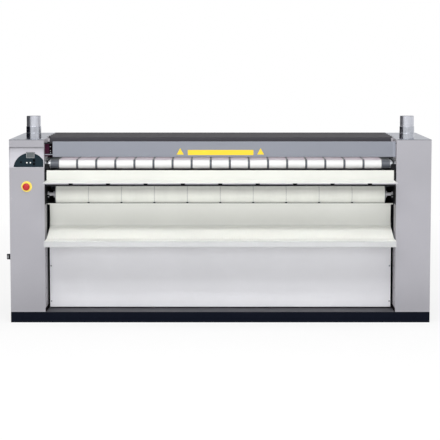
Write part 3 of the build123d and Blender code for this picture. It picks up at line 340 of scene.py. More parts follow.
markedUp, markedBack, markedRound = (60, 60, 1), (60, 1, 60), (60, 1, 1)
finish = {
    "stainless": brushedSteel(
        "stainless",
        shade(170, 169, 175),
        markedUp,
        roughness=0.42,
        # painted reflection of the dark floor low down, and painted light, 6% lighter below 1.05 m fading out
        # by 1.3 m
        foot=0.86,
        paintedShading=((1.3, 1.05, 1.06),),
    ),
    # a lighter copy of the stainless that darkens toward the top: painted light and shade on the fascia
    "fasciaSteel": brushedSteel(
        "fasciaSteel",
        darker(shade(170, 169, 175), 1.25),
        markedUp,
        roughness=0.42,
        paintedShading=((1.36, 1.43, 0.9), (1.43, 1.475, 0.76), (1.475, 1.48, 1.13)),
    ),
    "stainlessFlat": brushedSteel("stainlessFlat", shade(160, 163, 171), markedBack, roughness=0.42),
    "galvanised": galvanised("galvanised", shade(176, 182, 184)),
    "ductSteel": galvanised("ductSteel", shade(201, 203, 211), 0.3, 0.9, spangled=0.14),
    "collarSteel": galvanised("collarSteel", shade(186, 189, 197), 0.2, 1.0, spangled=0.14),
    "turnedSteel": brushedSteel("turnedSteel", shade(128, 132, 140), markedRound, roughness=0.3),
    "cylinderSteel": brushedSteel(
        "cylinderSteel", shade(128, 128, 132), markedRound, roughness=0.24, metal=1.0
    ),
    # near white, mostly diffuse steel: a painted glint on the journals
    "polished": brushedSteel("polished", shade(232, 232, 236), markedRound, roughness=0.25, metal=0.2),
    "rollerGrey": paint("rollerGrey", shade(82, 86, 94), 0.32, specular=0.45, rub=0.02),
    "plinthBlue": paint("plinthBlue", shade(10, 14, 25), 0.65, specular=0.06),
    "floorGrey": paint("floorGrey", shade(84, 84, 89), 0.65, specular=0.15),
    "frameBlack": paint("frameBlack", shade(22, 23, 26), 0.6, specular=0.15),
    "hoodBlack": paint("hoodBlack", shade(68, 67, 72), 0.65, specular=0.15),
    # the hood's top: a darker copy of its paint, painted shade
    "hoodTop": paint("hoodTop", shade(49, 47, 52), 0.65, specular=0.12),
    # the tray: its plate lighter towards the top, painted light; its lip a darker copy, painted shade; its
    # floor a lighter copy, painted light
    "trayWhite": paint("trayWhite", shade(217, 218, 213), 0.42, specular=0.2, paintedShading=((0.83, 0.95, 1.18),)),
    "trayLip": paint("trayLip", shade(172, 173, 174), 0.42, specular=0.2),
    "trayFloor": paint("trayFloor", shade(245, 246, 240), 0.45, specular=0.2, wear=0.01, rub=0.01),
    "shelfWhite": paint("shelfWhite", shade(210, 211, 206), 0.42, specular=0.2),
    # the shelf's top a lighter copy of its white, painted light; its nose and underside darker copies,
    # painted shade
    "shelfFloor": paint("shelfFloor", shade(228, 229, 224), 0.4, specular=0.3, rub=0.01),
    "shelfLip": paint("shelfLip", shade(157, 156, 163), 0.42, specular=0.2),
    "shelfUnder": paint("shelfUnder", shade(92, 92, 94), 0.6, specular=0.15),
    "panelGrey": paint(
        "panelGrey",
        shade(211, 211, 215),
        0.5,
        specular=0.3,
        # painted highlight on the sheet's ends; painted light at the top, in the tray's shadow, and painted
        # shade low down
        rim=(1.444, 1.2),
        paintedShading=((0.42, 0.6, 1.08), (0.3, 0.2, 0.96)),
    ),
    # a light paint standing in for the bright reflection of the stainless flanges and inner sheets: painted
    # reflection
    "linerLight": paint("linerLight", shade(180, 178, 183), 0.5, specular=0.3),
    # dark grey for painted shadow lines
    "seamGrey": paint("seamGrey", shade(92, 92, 97), 0.5, specular=0.2, rub=0.01),
    # painted highlight on the guard's ends
    "guardGrey": paint("guardGrey", shade(129, 132, 141), 0.5, specular=0.2, rim=(1.44, 1.1)),
    "maroon": paint("maroon", shade(52, 17, 37), 0.6, specular=0.08),
    "stripBlack": paint("stripBlack", shade(10, 4, 7), 0.7, specular=0.02),
    "archGreen": paint("archGreen", shade(25, 38, 45), 0.45, specular=0.08),
    "boxGrey": paint("boxGrey", shade(200, 202, 200), 0.5),
    "motorBlue": paint("motorBlue", shade(52, 74, 104), 0.5),
    "labelYellow": paint("labelYellow", shade(228, 196, 58), 0.5, peel=0.00002, specular=0.2),
    "ironingCloth": bandCloth("ironingCloth", shade(244, 245, 238)),
    # the second colour is the back run's painted pinkish shading tint
    "feedCloth": feedCloth("feedCloth", shade(226, 226, 226), shade(240, 227, 237)),
    "stopYellow": plastic("stopYellow", shade(238, 214, 96)),
    "stopRed": plastic("stopRed", shade(172, 36, 36), 0.3),
    "keyBlack": plastic("keyBlack", shade(5, 6, 9), 0.5, specular=0.04),
    "blackPlastic": plastic("blackPlastic", shade(26, 27, 29), 0.45, specular=0.2),
    "greyPlastic": plastic("greyPlastic", shade(140, 142, 144), 0.45),
    "keyWhiteLeft": lampKey("keyWhiteLeft", shade(232, 232, 230), shade(40, 46, 50), -1.614, 1.3469),
    "keyWhiteRight": lampKey("keyWhiteRight", shade(232, 232, 230), shade(40, 46, 50), -1.585, 1.3469),
    "displayGrey": plastic("displayGrey", shade(90, 95, 97), 0.25, 0.00001, 0.15),
    "beltRubber": plastic("beltRubber", shade(24, 24, 24), 0.7),
    "castIron": castIron("castIron", shade(70, 73, 76)),
    "zinc": brushedSteel("zinc", shade(176, 178, 182), (8, 8, 8), grain=40, roughness=0.3),
}
print("materials made")


def bodyOf(node):
    return frame["nodes"][node]["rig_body"]


def addPiece(name, mesh, materials, body):
    piece = bpy.data.objects.new(name, mesh)
    scene.collection.objects.link(piece)
    mesh.materials.clear()
    for material in materials:
        mesh.materials.append(finish[material])
    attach(piece, body)
    return piece


folds = {"angle": 35, "segments": 2, "merge": 0.00002, "flat": 0.6}  # angles in degrees


def smoothByAngle(mesh):
    for face in mesh.polygons:
        face.use_smooth = True
    mesh.set_sharp_from_angle(angle=math.radians(folds["angle"]))


def finishMesh(work, name):
    bmesh.ops.recalc_face_normals(work, faces=work.faces)
    mesh = bpy.data.meshes.new(name)
    work.to_mesh(mesh)
    work.free()
    smoothByAngle(mesh)
    return mesh


def refine(node, material, width, others):
    # the CAD piece with its facets merged, its folds rounded and its faces sorted by material
    mesh = frame["nodes"][node].data.copy()
    work = bmesh.new()
    work.from_mesh(mesh)
    bmesh.ops.remove_doubles(work, verts=work.verts, dist=folds["merge"])
    flat = math.radians(folds["flat"])
    bmesh.ops.dissolve_limit(work, angle_limit=flat, verts=work.verts, edges=work.edges)
    for face in work.faces:
        face.material_index = 0
        centre = face.calc_center_median()
        for index, (name, belongs) in enumerate(others, 1):
            if belongs(centre, face.normal):
                face.material_index = index
    work.to_mesh(mesh)
    work.free()
    for layer in list(mesh.attributes):
        if layer.name in ("custom_normal", "sharp_edge", "sharp_face"):
            mesh.attributes.remove(layer)
    smoothByAngle(mesh)
    kept = [face.material_index for face in mesh.polygons]
    materials = [material, *(name for name, belongs in others)]
    piece = addPiece(node + "Skin", mesh, materials, bodyOf(node))
    mesh.polygons.foreach_set("material_index", kept)
    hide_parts(node)
    edge = piece.modifiers.new("folds", "BEVEL")
    edge.width = width
    edge.segments = folds["segments"]
    edge.limit_method = "ANGLE"
    edge.angle_limit = math.radians(folds["angle"])
    edge.harden_normals = True


slotOf = {part["node"]: part["material_slot"] for part in frame["record"]["subparts"]}
plainFinish = {
    "leveling_feet": "blackPlastic",
    "side_frame_left": "frameBlack",
    "side_frame_right": "frameBlack",
    "cross_beams": "frameBlack",
    "cylinder_shell": "cylinderSteel",
    "cylinder_heads": "turnedSteel",
    "cylinder_pulley": "castIron",
    "cylinder_bearings": "castIron",
    "lower_guide_roller": "turnedSteel",
    "rear_lower_roller": "turnedSteel",
    "rear_upper_roller": "turnedSteel",
    "top_guide_roller": "turnedSteel",
    "feed_nose_roller": "turnedSteel",
    "feed_table": "galvanised",
    "fan_housings": "galvanised",
    "fan_impeller_left": "galvanised",
    "fan_impeller_right": "galvanised",
    "motor_pulley": "castIron",
    "drive_belt": "beltRubber",
    "gearmotor": "motorBlue",
    "heater_bundle": "turnedSteel",
    "electrical_box": "boxGrey",
    "e_stop_stem": "blackPlastic",
}
for node, material in plainFinish.items():
    slots = frame["nodes"][node].data.materials
    slots.clear()
    slots.append(finish[material])

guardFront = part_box("guard_panel")[0].y
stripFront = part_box("guard_switch_plate")[0].y
innerWall = 1.469  # the columns' inner sides, measured from the middle
hingeRod = {"y": -0.5625, "z": 1.507, "radius": 0.0085}
tripBar = {"end": -1.3, "front": -0.5665, "top": 1.43}
# where one sheet or roller changes its finish
finishEdge = {
    "strip": 0.0079,
    "flangeTop": 1.5375,
    "journal": 1.4065,
    "liner": 1.4705,
    "lipTop": 0.7155,
    "shelfNose": -0.941,
}


def nearRod(centre, normal):
    return math.hypot(centre.y - hingeRod["y"], centre.z - hingeRod["z"]) < hingeRod["radius"]


def tripRod(centre, normal):
    return centre.x < tripBar["end"] and centre.y > tripBar["front"] and centre.z < tripBar["top"]


def switchStrip(centre, normal):
    return centre.y < stripFront + finishEdge["strip"]


def innerFlange(centre, normal):
    return centre.z < finishEdge["flangeTop"] and abs(normal.x) > 0.5


def insideFrame(centre, normal):
    return abs(centre.x) < innerWall


def journal(centre, normal):
    return abs(centre.x) > finishEdge["journal"]


def linerInner(centre, normal):
    return abs(normal.x) > 0.9 and abs(centre.x) < finishEdge["liner"]


def facesUp(centre, normal):
    return normal.z > 0.8


def lipFront(centre, normal):
    return normal.y < -0.5 and centre.z < finishEdge["lipTop"]


def shelfNose(centre, normal):
    return centre.y < finishEdge["shelfNose"] and abs(normal.z) < 0.8


def facesDown(centre, normal):
    return normal.z < -0.8


# each piece's finish, the radius of its folds and the finishes of some of its faces
skins = {
    "base_plinth": ("plinthBlue", 0.002, ()),
    "floor_plate": ("floorGrey", 0.0008, ()),
    "column_front_left": ("stainless", 0.0009, [("linerLight", linerInner)]),
    "column_front_right": ("stainless", 0.0009, [("linerLight", linerInner)]),
    "column_side_left": ("stainless", 0.0009, ()),
    "column_side_right": ("stainless", 0.0009, ()),
    "column_tops": ("stainlessFlat", 0.0009, [("linerLight", innerFlange)]),
    "column_backs": ("stainless", 0.0009, ()),
    # the fascia takes the lighter stainless copy, painted light
    "control_fascia": ("fasciaSteel", 0.0007, ()),
    # the hood's top faces take the darker copy, painted shade
    "top_hood": ("hoodBlack", 0.0009, [("hoodTop", facesUp)]),
    "lower_front_panel": ("panelGrey", 0.0009, ()),
    "rear_panels": ("panelGrey", 0.0009, ()),
    # the shelf's underside and nose take the darker copies, painted shade, and its top the lighter one,
    # painted light
    "feed_shelf": (
        "shelfWhite",
        0.0008,
        [("shelfUnder", facesDown), ("shelfFloor", facesUp), ("shelfLip", shelfNose)],
    ),
    # the tray's floor takes the lighter copy, painted light, and its lip the darker one, painted shade
    "receiving_tray": ("trayWhite", 0.0008, [("trayFloor", facesUp), ("trayLip", lipFront)]),
    "shelf_brackets": ("frameBlack", 0.0012, ()),
    "tray_brackets": ("frameBlack", 0.002, ()),
    "stripper_bar": ("frameBlack", 0.002, ()),
    "guard_panel": ("guardGrey", 0.0008, [("frameBlack", nearRod), ("zinc", tripRod)]),
    "guard_switch_plate": ("maroon", 0.0008, [("stripBlack", switchStrip)]),
    "feed_roller": ("rollerGrey", 0.001, [("zinc", journal)]),
    # the exit roller's journals take the steel with a painted glint
    "exit_roller": ("turnedSteel", 0.001, [("polished", journal)]),
    "roller_bearings": ("castIron", 0.0008, [("frameBlack", insideFrame)]),
    "ironing_bands": ("ironingCloth", 0.0007, ()),
    "feed_bands": ("feedCloth", 0.0007, ()),
    "duct_collars": ("collarSteel", 0.0006, ()),
    "duct_pipes": ("ductSteel", 0.0004, ()),
    "control_panel": ("archGreen", 0.0006, ()),
    "display_window": ("displayGrey", 0.0006, ()),
    "key_dark": ("keyBlack", 0.0008, ()),
    "key_white_left": ("keyWhiteLeft", 0.0008, ()),
    "key_white_right": ("keyWhiteRight", 0.0008, ()),
    "key_up": ("keyBlack", 0.0008, ()),
    "key_down": ("keyBlack", 0.0008, ()),
    "e_stop_base": ("stopYellow", 0.0008, ()),
    "e_stop_button": ("stopRed", 0.002, ()),
    "isolator_base": ("blackPlastic", 0.001, ()),
    "isolator_knob": ("blackPlastic", 0.0015, ()),
}
for node, (material, width, others) in skins.items():
    refine(node, material, width, others)
print("skins made")


def guardPlate(name, outline):
    # a thin blank plate on the guard's face, from its corners across and up
    work = bmesh.new()
    back = [work.verts.new((x, guardFront, z)) for x, z in outline]
    face = [work.verts.new((x, guardFront - guardMarks["thickness"], z)) for x, z in outline]
    work.faces.new(back)
    work.faces.new(face[::-1])
    count = len(outline)
    for index in range(count):
        after = (index + 1) % count
        work.faces.new((back[index], face[index], face[after], back[after]))
    addPiece(name, finishMesh(work, name), ["labelYellow"], "finger_guard")


def roundedCorners(centreX, centreZ, width, height, radius, steps=5):
    # corners of a rounded rectangle
    corners = []
    for turn, (signX, signZ) in enumerate(((1, 1), (-1, 1), (-1, -1), (1, -1))):
        for step in range(steps + 1):
            angle = math.radians(90 * (turn + step / steps))
            x = centreX + signX * (width / 2 - radius) + radius * math.cos(angle)
            corners.append((x, centreZ + signZ * (height / 2 - radius) + radius * math.sin(angle)))
    return corners


def turned(name, outline, centre, material, body, steps=48):
    # rings of one closed outline of (along, radius), turned about X
    work = bmesh.new()
    rings = []
    for step in range(steps):
        angle = 2 * math.pi * step / steps
        ring = []
        for along, radius in outline:
            offset = (along, radius * math.cos(angle), radius * math.sin(angle))
            ring.append(work.verts.new(Vector(centre) + Vector(offset)))
        rings.append(ring)
    count = len(outline)
    for step in range(steps):
        here, there = rings[step], rings[(step + 1) % steps]
        for index in range(count):
            after = (index + 1) % count
            work.faces.new((here[index], here[after], there[after], there[index]))
    addPiece(name, finishMesh(work, name), [material], body)


# places read on the picture's grid: across and down, for something that lies at y
sight = {"pixel": 0.00837, "middle": 220.3, "horizon": 42, "eyeHeight": 2.356, "distance": 14.6}
columnFace = 0.6  # how far the columns' face lies in front of the middle


def fromPixel(across, down, y):
    scale = sight["pixel"] * (1 + (y + columnFace) / sight["distance"])
    return (across - sight["middle"]) * scale, sight["eyeHeight"] - (down - sight["horizon"]) * scale


guardMarks = {
    "across": (187.9, 253.3),
    "rows": (149.8, 154.9),
    "signs": ((176.8, 183.9), (257, 263.9)),
    "signRows": (148, 154.4),
    "corner": 0.003,
    "thickness": 0.0006,
}
left, top = fromPixel(guardMarks["across"][0], guardMarks["rows"][0], guardFront)
right, bottom = fromPixel(guardMarks["across"][1], guardMarks["rows"][1], guardFront)
middle = ((left + right) / 2, (top + bottom) / 2)
guardPlate("guardStrip", roundedCorners(*middle, right - left, top - bottom, guardMarks["corner"]))
for name, (start, end) in zip(("guardSignLeft", "guardSignRight"), guardMarks["signs"]):
    low, foot = fromPixel(start, guardMarks["signRows"][1], guardFront)
    high, peak = fromPixel(end, guardMarks["signRows"][0], guardFront)
    guardPlate(name, [(low, foot), (high, foot), ((low + high) / 2, peak)])
print("guard plates made")


def block(name, low, high, material, body):
    work = bmesh.new()
    bmesh.ops.create_cube(work, size=1)
    for vertex in work.verts:
        for axis in range(3):
            vertex.co[axis] = low[axis] + (vertex.co[axis] + 0.5) * (high[axis] - low[axis])
    addPiece(name, finishMesh(work, name), [material], body)


# thin pieces that stand at both ends alike: how far out, how deep and how high they reach
jamb = {"inner": 1.471, "outer": 1.4718, "front": -0.578, "back": -0.302, "foot": 1.307, "top": 1.514}
cheek = {"inner": 1.4515, "outer": 1.4695, "front": -0.31, "back": -0.3085, "foot": 1.507, "top": 1.5385}
# a black strip low on the inner walls, painted shadow at the panel's foot
footShadowStrip = {"inner": 1.466, "outer": 1.4702, "front": -0.598, "back": -0.34, "foot": 0.0902, "top": 0.121}
# a dark strip across the column fronts under the cap, painted shadow of the cap's fold
capShadowLine = {"inner": 1.4725, "outer": 1.7612, "front": -0.6004, "back": -0.5995, "foot": 1.5352, "top": 1.5392}
steadyArm = {"inner": 1.447, "outer": 1.471, "front": -0.4, "back": -0.396, "foot": 1.028, "top": 1.062}
endPieces = (
    ("jamb", jamb, "linerLight", slotOf["column_tops"]),
    ("cheek", cheek, "linerLight", slotOf["column_tops"]),
    ("footShadowStrip", footShadowStrip, "stripBlack", "black_frame"),
    ("capShadowLine", capShadowLine, "seamGrey", "stainless"),
    ("steadyArm", steadyArm, "frameBlack", "black_frame"),
)
for ending, side in (("Left", -1), ("Right", 1)):
    for name, reach, material, slot in endPieces:
        ends = sorted((side * reach["inner"], side * reach["outer"]))
        low, high = (ends[0], reach["front"], reach["foot"]), (ends[1], reach["back"], reach["top"])
        block(name + ending, low, high, material, "machine")

# a black rail under the shelf's lip, made deep and dark as painted shade for the band under the lip
shelfShadowRail = {"thickness": 0.004, "height": 0.023, "overlap": 0.008, "inset": 0.02, "behind": 0.013}
shelfLow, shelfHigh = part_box("feed_shelf")
railFront, railTop = shelfLow.y + shelfShadowRail["behind"], shelfLow.z + shelfShadowRail["overlap"]
low = (shelfLow.x + shelfShadowRail["inset"], railFront, railTop - shelfShadowRail["height"])
high = (shelfHigh.x - shelfShadowRail["inset"], railFront + shelfShadowRail["thickness"], railTop)
block("shelfShadowRail", low, high, "frameBlack", "machine")

# a dark strip on the tray's top edge, painted shadow of the gap under the bands
trayShadowLine = {"halfLength": 1.4, "front": -0.3562, "back": -0.3528, "sunk": 0.0004, "rise": 0.0022}
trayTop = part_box("receiving_tray")[1].z
low = (-trayShadowLine["halfLength"], trayShadowLine["front"], trayTop - trayShadowLine["sunk"])
high = (trayShadowLine["halfLength"], trayShadowLine["back"], trayTop + trayShadowLine["rise"])
block("trayShadowLine", low, high, "seamGrey", "machine")

isolatorMark = {"start": 0.006, "end": 0.018, "proud": 0.0004, "depth": 0.004, "halfHeight": 0.012}
knobLow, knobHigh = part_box("isolator_knob")
middle = (knobLow.z + knobHigh.z) / 2
markFoot, markTop = middle - isolatorMark["halfHeight"], middle + isolatorMark["halfHeight"]
low = (knobLow.x + isolatorMark["start"], knobLow.y - isolatorMark["proud"], markFoot)
high = (knobLow.x + isolatorMark["end"], knobLow.y + isolatorMark["depth"], markTop)
block("isolatorMark", low, high, "greyPlastic", bodyOf("isolator_knob"))
print("jambs, cheeks, shadowStrips, shelf rail and trims made")

# a flange on each end of the feed roller, biting a little into its shell
feedEnd = {"face": 1.428, "ring": 0.006, "proud": 0.0008, "bore": 0.030, "past": 0.001, "bite": 0.0002}
rollerLow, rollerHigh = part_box("feed_roller")
rollerCentre = (0, (rollerLow.y + rollerHigh.y) / 2, (rollerLow.z + rollerHigh.z) / 2)
rollerRadius = (rollerHigh.z - rollerLow.z) / 2
seat, rimRadius = rollerRadius - feedEnd["bite"], rollerRadius + feedEnd["proud"]
for name, side in (("feedRingLeft", -1), ("feedRingRight", 1)):
    start = side * (feedEnd["face"] - feedEnd["ring"])
    face = side * feedEnd["face"]
    end = side * (feedEnd["face"] + feedEnd["past"])
    outline = [
        (start, seat),
        (start, rimRadius),
        (end, rimRadius),
        (end, feedEnd["bore"]),
        (face, feedEnd["bore"]),
        (face, seat),
    ]
    turned(name, outline, rollerCentre, "zinc", "feed_roller")
print("feed roller ends made")

displayFrame = {"border": 0.0035, "proud": 0.0012, "corner": 0.004}
displayLow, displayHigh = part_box("display_window")
centreX, centreZ = (displayLow.x + displayHigh.x) / 2, (displayLow.z + displayHigh.z) / 2
work = bmesh.new()
loops = []
inward, forward = -displayFrame["border"], -displayFrame["proud"]
for widened, y in ((0, 0), (0, forward), (inward, forward), (inward, 0)):
    width, height = displayHigh.x - displayLow.x + 2 * widened, displayHigh.z - displayLow.z + 2 * widened
    outline = roundedCorners(centreX, centreZ, width, height, displayFrame["corner"] + widened / 2)
    loops.append([work.verts.new((x, displayLow.y + y, z)) for x, z in outline])
for here, there in zip(loops, loops[1:] + loops[:1]):
    for index in range(len(here)):
        after = (index + 1) % len(here)
        work.faces.new((here[index], here[after], there[after], there[index]))
mesh = finishMesh(work, "displayFrame")
addPiece("displayFrame", mesh, ["greyPlastic"], "machine")
print("display frame made")


class growth(graph):
    # a Geometry Nodes tree: named inputs in, one mesh out
    kinds = {int: "NodeSocketInt", float: "NodeSocketFloat"}

    def __init__(self, name, **given):
        super().__init__(bpy.data.node_groups.new(name, "GeometryNodeTree"))
        panel = self.tree.interface
        panel.new_socket("Geometry", in_out="OUTPUT", socket_type="NodeSocketGeometry")
        panel.new_socket("Geometry", in_out="INPUT", socket_type="NodeSocketGeometry")
        panel.new_socket("finish", in_out="INPUT", socket_type="NodeSocketMaterial")
        for key, value in given.items():
            socket = panel.new_socket(key, in_out="INPUT", socket_type=self.kinds[type(value)])
            socket.default_value = value
        self.entry = self.tree.nodes.new("NodeGroupInput")
        self.exit = self.tree.nodes.new("NodeGroupOutput")

    def given(self, key):
        return wire(self, self.entry.outputs[key])

    def vector(self, x=0.0, y=0.0, z=0.0):
        return self.add("ShaderNodeCombineXYZ", None, {"X": x, "Y": y, "Z": z})

    def aimed(self):
        # Z along the spot's own facing, Y upwards
        named = {"data_type": "FLOAT_VECTOR"}
        facing = self.add("GeometryNodeInputNamedAttribute", named, {"Name": "facing"})
        outward = self.add("FunctionNodeAlignRotationToVector", {"axis": "Z"}, {"Vector": facing})
        settings, values = {"axis": "Y", "pivot_axis": "Z"}, {"Rotation": outward, "Vector": (0, 0, 1)}
        return self.add("FunctionNodeAlignRotationToVector", settings, values)

    def onPoints(self, points, instance, rotation=None):
        values = {"Points": points, "Instance": instance}
        if rotation:
            values["Rotation"] = rotation
        return self.add("GeometryNodeInstanceOnPoints", None, values)

    def ends(self, shape):
        realised = self.add("GeometryNodeRealizeInstances", None, {"Geometry": shape})
        values = {"Geometry": realised, "Material": self.given("finish")}
        self.plug(self.exit.inputs[0], self.add("GeometryNodeSetMaterial", None, values))


def spots(name, places):
    # bare points, each with the way that it faces
    mesh = bpy.data.meshes.new(name)
    mesh.from_pydata([place for place, facing in places], [], [])
    layer = mesh.attributes.new("facing", "FLOAT_VECTOR", "POINT")
    for item, (place, facing) in zip(layer.data, places):
        item.vector = facing
    return mesh


def grow(tree, name, places, values, material, body):
    # the tree's result as a plain mesh on its body
    host = bpy.data.objects.new(name, spots(name, places))
    scene.collection.objects.link(host)
    modifier = host.modifiers.new("grow", "NODES")
    modifier.node_group = tree.tree
    given = {**values, "finish": finish[material]}
    for item in tree.tree.interface.items_tree:
        if item.in_out == "INPUT" and item.name in given:
            modifier[item.identifier] = given[item.name]
    settled = host.evaluated_get(bpy.context.evaluated_depsgraph_get())
    made = bpy.data.meshes.new_from_object(settled)
    host.modifiers.clear()
    host.data = made
    smoothByAngle(made)
    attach(host, body)


# a screw head: a cone whose top is drawn in and sunk
headTree = growth("heads", sides=12, radius=0.006, height=0.003, topShare=0.7, bore=0.5, sink=0.5)
cone = headTree.add(
    "GeometryNodeMeshCone",
    {"fill_type": "NGON"},
    {
        "Vertices": headTree.given("sides"),
        "Radius Top": headTree.given("radius") * headTree.given("topShare"),
        "Radius Bottom": headTree.given("radius"),
        "Depth": headTree.given("height"),
    },
)
rim = headTree.add(
    "GeometryNodeExtrudeMesh",
    {"mode": "FACES"},
    {"Mesh": cone, "Selection": cone.other("Top"), "Offset Scale": 0.0, "Individual": False},
)
narrowed = headTree.add(
    "GeometryNodeScaleElements",
    None,
    {"Geometry": rim, "Selection": rim.other("Top"), "Scale": headTree.given("bore")},
)
bored = headTree.add(
    "GeometryNodeExtrudeMesh",
    {"mode": "FACES"},
    {
        "Mesh": narrowed,
        "Selection": rim.other("Top"),
        "Offset Scale": -(headTree.given("height") * headTree.given("sink")),
        "Individual": False,
    },
)
roll = headTree.add(
    "FunctionNodeRandomValue", {"data_type": "FLOAT"}, {2: 0.0, 3: 2 * math.pi, "Seed": 7}, "Value"
)
ownTurn = headTree.add("FunctionNodeAxisAngleToRotation", None, {"Axis": (0, 0, 1), "Angle": roll})
screwed = headTree.add(
    "FunctionNodeRotateRotation",
    {"rotation_space": "LOCAL"},
    {"Rotation": headTree.aimed(), "Rotate By": ownTurn},
)
headTree.ends(headTree.onPoints(headTree.given("Geometry"), bored, screwed))

# leaning slats in a row, or one plain block
slatTree = growth("slats", count=9, pitch=0.026, length=0.19, depth=0.016, thickness=0.001, lean=0.6)
span = slatTree.given("pitch") * (slatTree.given("count") - 1)
rows = slatTree.add(
    "GeometryNodeMeshLine",
    {"mode": "OFFSET"},
    {
        "Count": slatTree.given("count"),
        "Start Location": slatTree.vector(y=-(span / 2)),
        "Offset": slatTree.vector(y=slatTree.given("pitch")),
    },
)
slat = slatTree.add(
    "GeometryNodeMeshCube",
    None,
    {"Size": slatTree.vector(slatTree.given("length"), slatTree.given("thickness"), slatTree.given("depth"))},
)
lean = slatTree.vector(x=slatTree.given("lean"))
leaning = slatTree.add("FunctionNodeEulerToRotation", None, {"Euler": lean})
field = slatTree.onPoints(rows, slat, leaning)
slatTree.ends(slatTree.onPoints(slatTree.given("Geometry"), field, slatTree.aimed()))
print("node trees made")

front, back, upward = (0, -1, 0), (0, 1, 0), (0, 0, 1)
panelLow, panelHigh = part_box("lower_front_panel")
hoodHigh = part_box("top_hood")[1]
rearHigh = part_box("rear_panels")[1]
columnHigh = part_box("column_backs")[1]
plateLow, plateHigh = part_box("isolator_base")

panScrew = {"sides": 12, "radius": 0.007, "height": 0.003, "topShare": 0.7, "bore": 0.4, "sink": 0.6}
panelRows = {
    "heights": (0.152, 0.455, 0.70),
    "inset": 0.010,
    "liner": ((0.108, 0.555), (0.136, 0.463), (0.077, 0.284), (0.171, 0.152)),  # behind the face, height
    "linerOut": 1.47,
}
places = []
for side in (-1, 1):
    for height in panelRows["heights"]:
        places.append(((side * (panelHigh.x - panelRows["inset"]), panelLow.y, height), front))
    for depth, height in panelRows["liner"]:
        places.append(((side * panelRows["linerOut"], depth - columnFace, height), (-side, 0, 0)))
grow(headTree, "frontScrews", places, panScrew, "turnedSteel", "machine")

coverRows = {
    "armBolt": (1.457, steadyArm["front"], 1.045),
    "rearHeights": (0.14, 0.5, 0.86, 1.22, 1.46),
    "rearInset": 0.02,
    "rearMiddle": 0.024,
    "hoodCount": 5,
    "hoodInset": 0.009,
    "hoodFront": -0.15,
    "hoodLength": 0.7,
}
places = []
for side in (-1, 1):
    x, y, z = coverRows["armBolt"]
    places.append(((side * x, y, z), front))
    for x in (rearHigh.x - coverRows["rearInset"], coverRows["rearMiddle"]):
        for height in coverRows["rearHeights"]:
            places.append(((side * x, rearHigh.y, height), back))
    for index in range(coverRows["hoodCount"]):
        y = coverRows["hoodFront"] + index * coverRows["hoodLength"] / (coverRows["hoodCount"] - 1)
        places.append(((side * (hoodHigh.x - coverRows["hoodInset"]), y, hoodHigh.z), upward))
grow(headTree, "coverScrews", places, panScrew, "zinc", "machine")

flushScrew = {"sides": 12, "radius": 0.006, "height": 0.0004, "topShare": 0.95, "bore": 0.5, "sink": 0.8}
columnRows = {"heights": (0.13, 0.62, 1.05, 1.47), "inset": 0.02, "depths": (-0.2, 0.2, 0.56), "lid": 0.002}
outerX = columnHigh.x - columnRows["inset"]
places = []
for side in (-1, 1):
    for height in columnRows["heights"]:
        places.append(((side * outerX, columnHigh.y, height), back))
        places.append(((side * (innerWall + columnRows["inset"]), columnHigh.y, height), back))
    for y in columnRows["depths"]:
        places.append(((side * outerX, y, columnHigh.z + columnRows["lid"]), upward))
grow(headTree, "columnScrews", places, flushScrew, "zinc", "machine")

doorLock = {"sides": 24, "radius": 0.014, "height": 0.0005, "topShare": 0.97, "bore": 0.45, "sink": 0.9}
lockPlaces = {"y": -0.51, "heights": (0.62, 1.2)}
places = []
for side in (-1, 1):
    for height in lockPlaces["heights"]:
        places.append(((side * columnHigh.x, lockPlaces["y"], height), (side, 0, 0)))
grow(headTree, "doorLocks", places, doorLock, "frameBlack", "machine")

stripDot = {"sides": 12, "radius": 0.004, "height": 0.0015, "topShare": 0.7, "bore": 0.4, "sink": 0.5}
dotPlaces = {"across": 51.1, "down": (146.5, 150.4, 152.6)}
places = []
for down in dotPlaces["down"]:
    x, z = fromPixel(dotPlaces["across"], down, stripFront)
    places.append(((x, stripFront, z), front))
grow(headTree, "stripDots", places, stripDot, "zinc", bodyOf("guard_switch_plate"))

plateScrew = {"sides": 12, "radius": 0.0035, "height": 0.0015, "topShare": 0.7, "bore": 0.4, "sink": 0.6}
plateOffset = 0.027
places = []
middleY, middleZ = (plateLow.y + plateHigh.y) / 2, (plateLow.z + plateHigh.z) / 2
for signY in (-1, 1):
    for signZ in (-1, 1):
        place = (plateLow.x, middleY + signY * plateOffset, middleZ + signZ * plateOffset)
        places.append((place, (-1, 0, 0)))
grow(headTree, "isolatorScrews", places, plateScrew, "zinc", "machine")

ventSlats = {"count": 9, "pitch": 0.026, "length": 0.188, "depth": 0.016, "thickness": 0.001, "lean": -0.7}
ventPlaces = {"height": 0.3, "inside": 0.012}
places = []
for side in (-1, 1):
    height, inside = ventPlaces["height"], ventPlaces["inside"]
    places.append(((side * (columnHigh.x - inside), 0, height), (side, 0, 0)))
    places.append(((side * (innerWall + columnHigh.x) / 2, columnHigh.y - inside, height), back))
grow(slatTree, "ventSlats", places, ventSlats, "galvanised", "machine")

shelfClips = {"count": 1, "pitch": 0.0, "length": 0.034, "depth": 0.012, "thickness": 0.015, "lean": 0.0}
clipRow = {"count": 9, "pitch": 0.305, "behind": 0.0057, "above": 0.001}
places = []
for index in range(clipRow["count"]):
    x = (index - (clipRow["count"] - 1) / 2) * clipRow["pitch"]
    places.append(((x, shelfLow.y + clipRow["behind"], shelfLow.z + clipRow["above"]), front))
grow(slatTree, "shelfClips", places, shelfClips, "keyBlack", "machine")

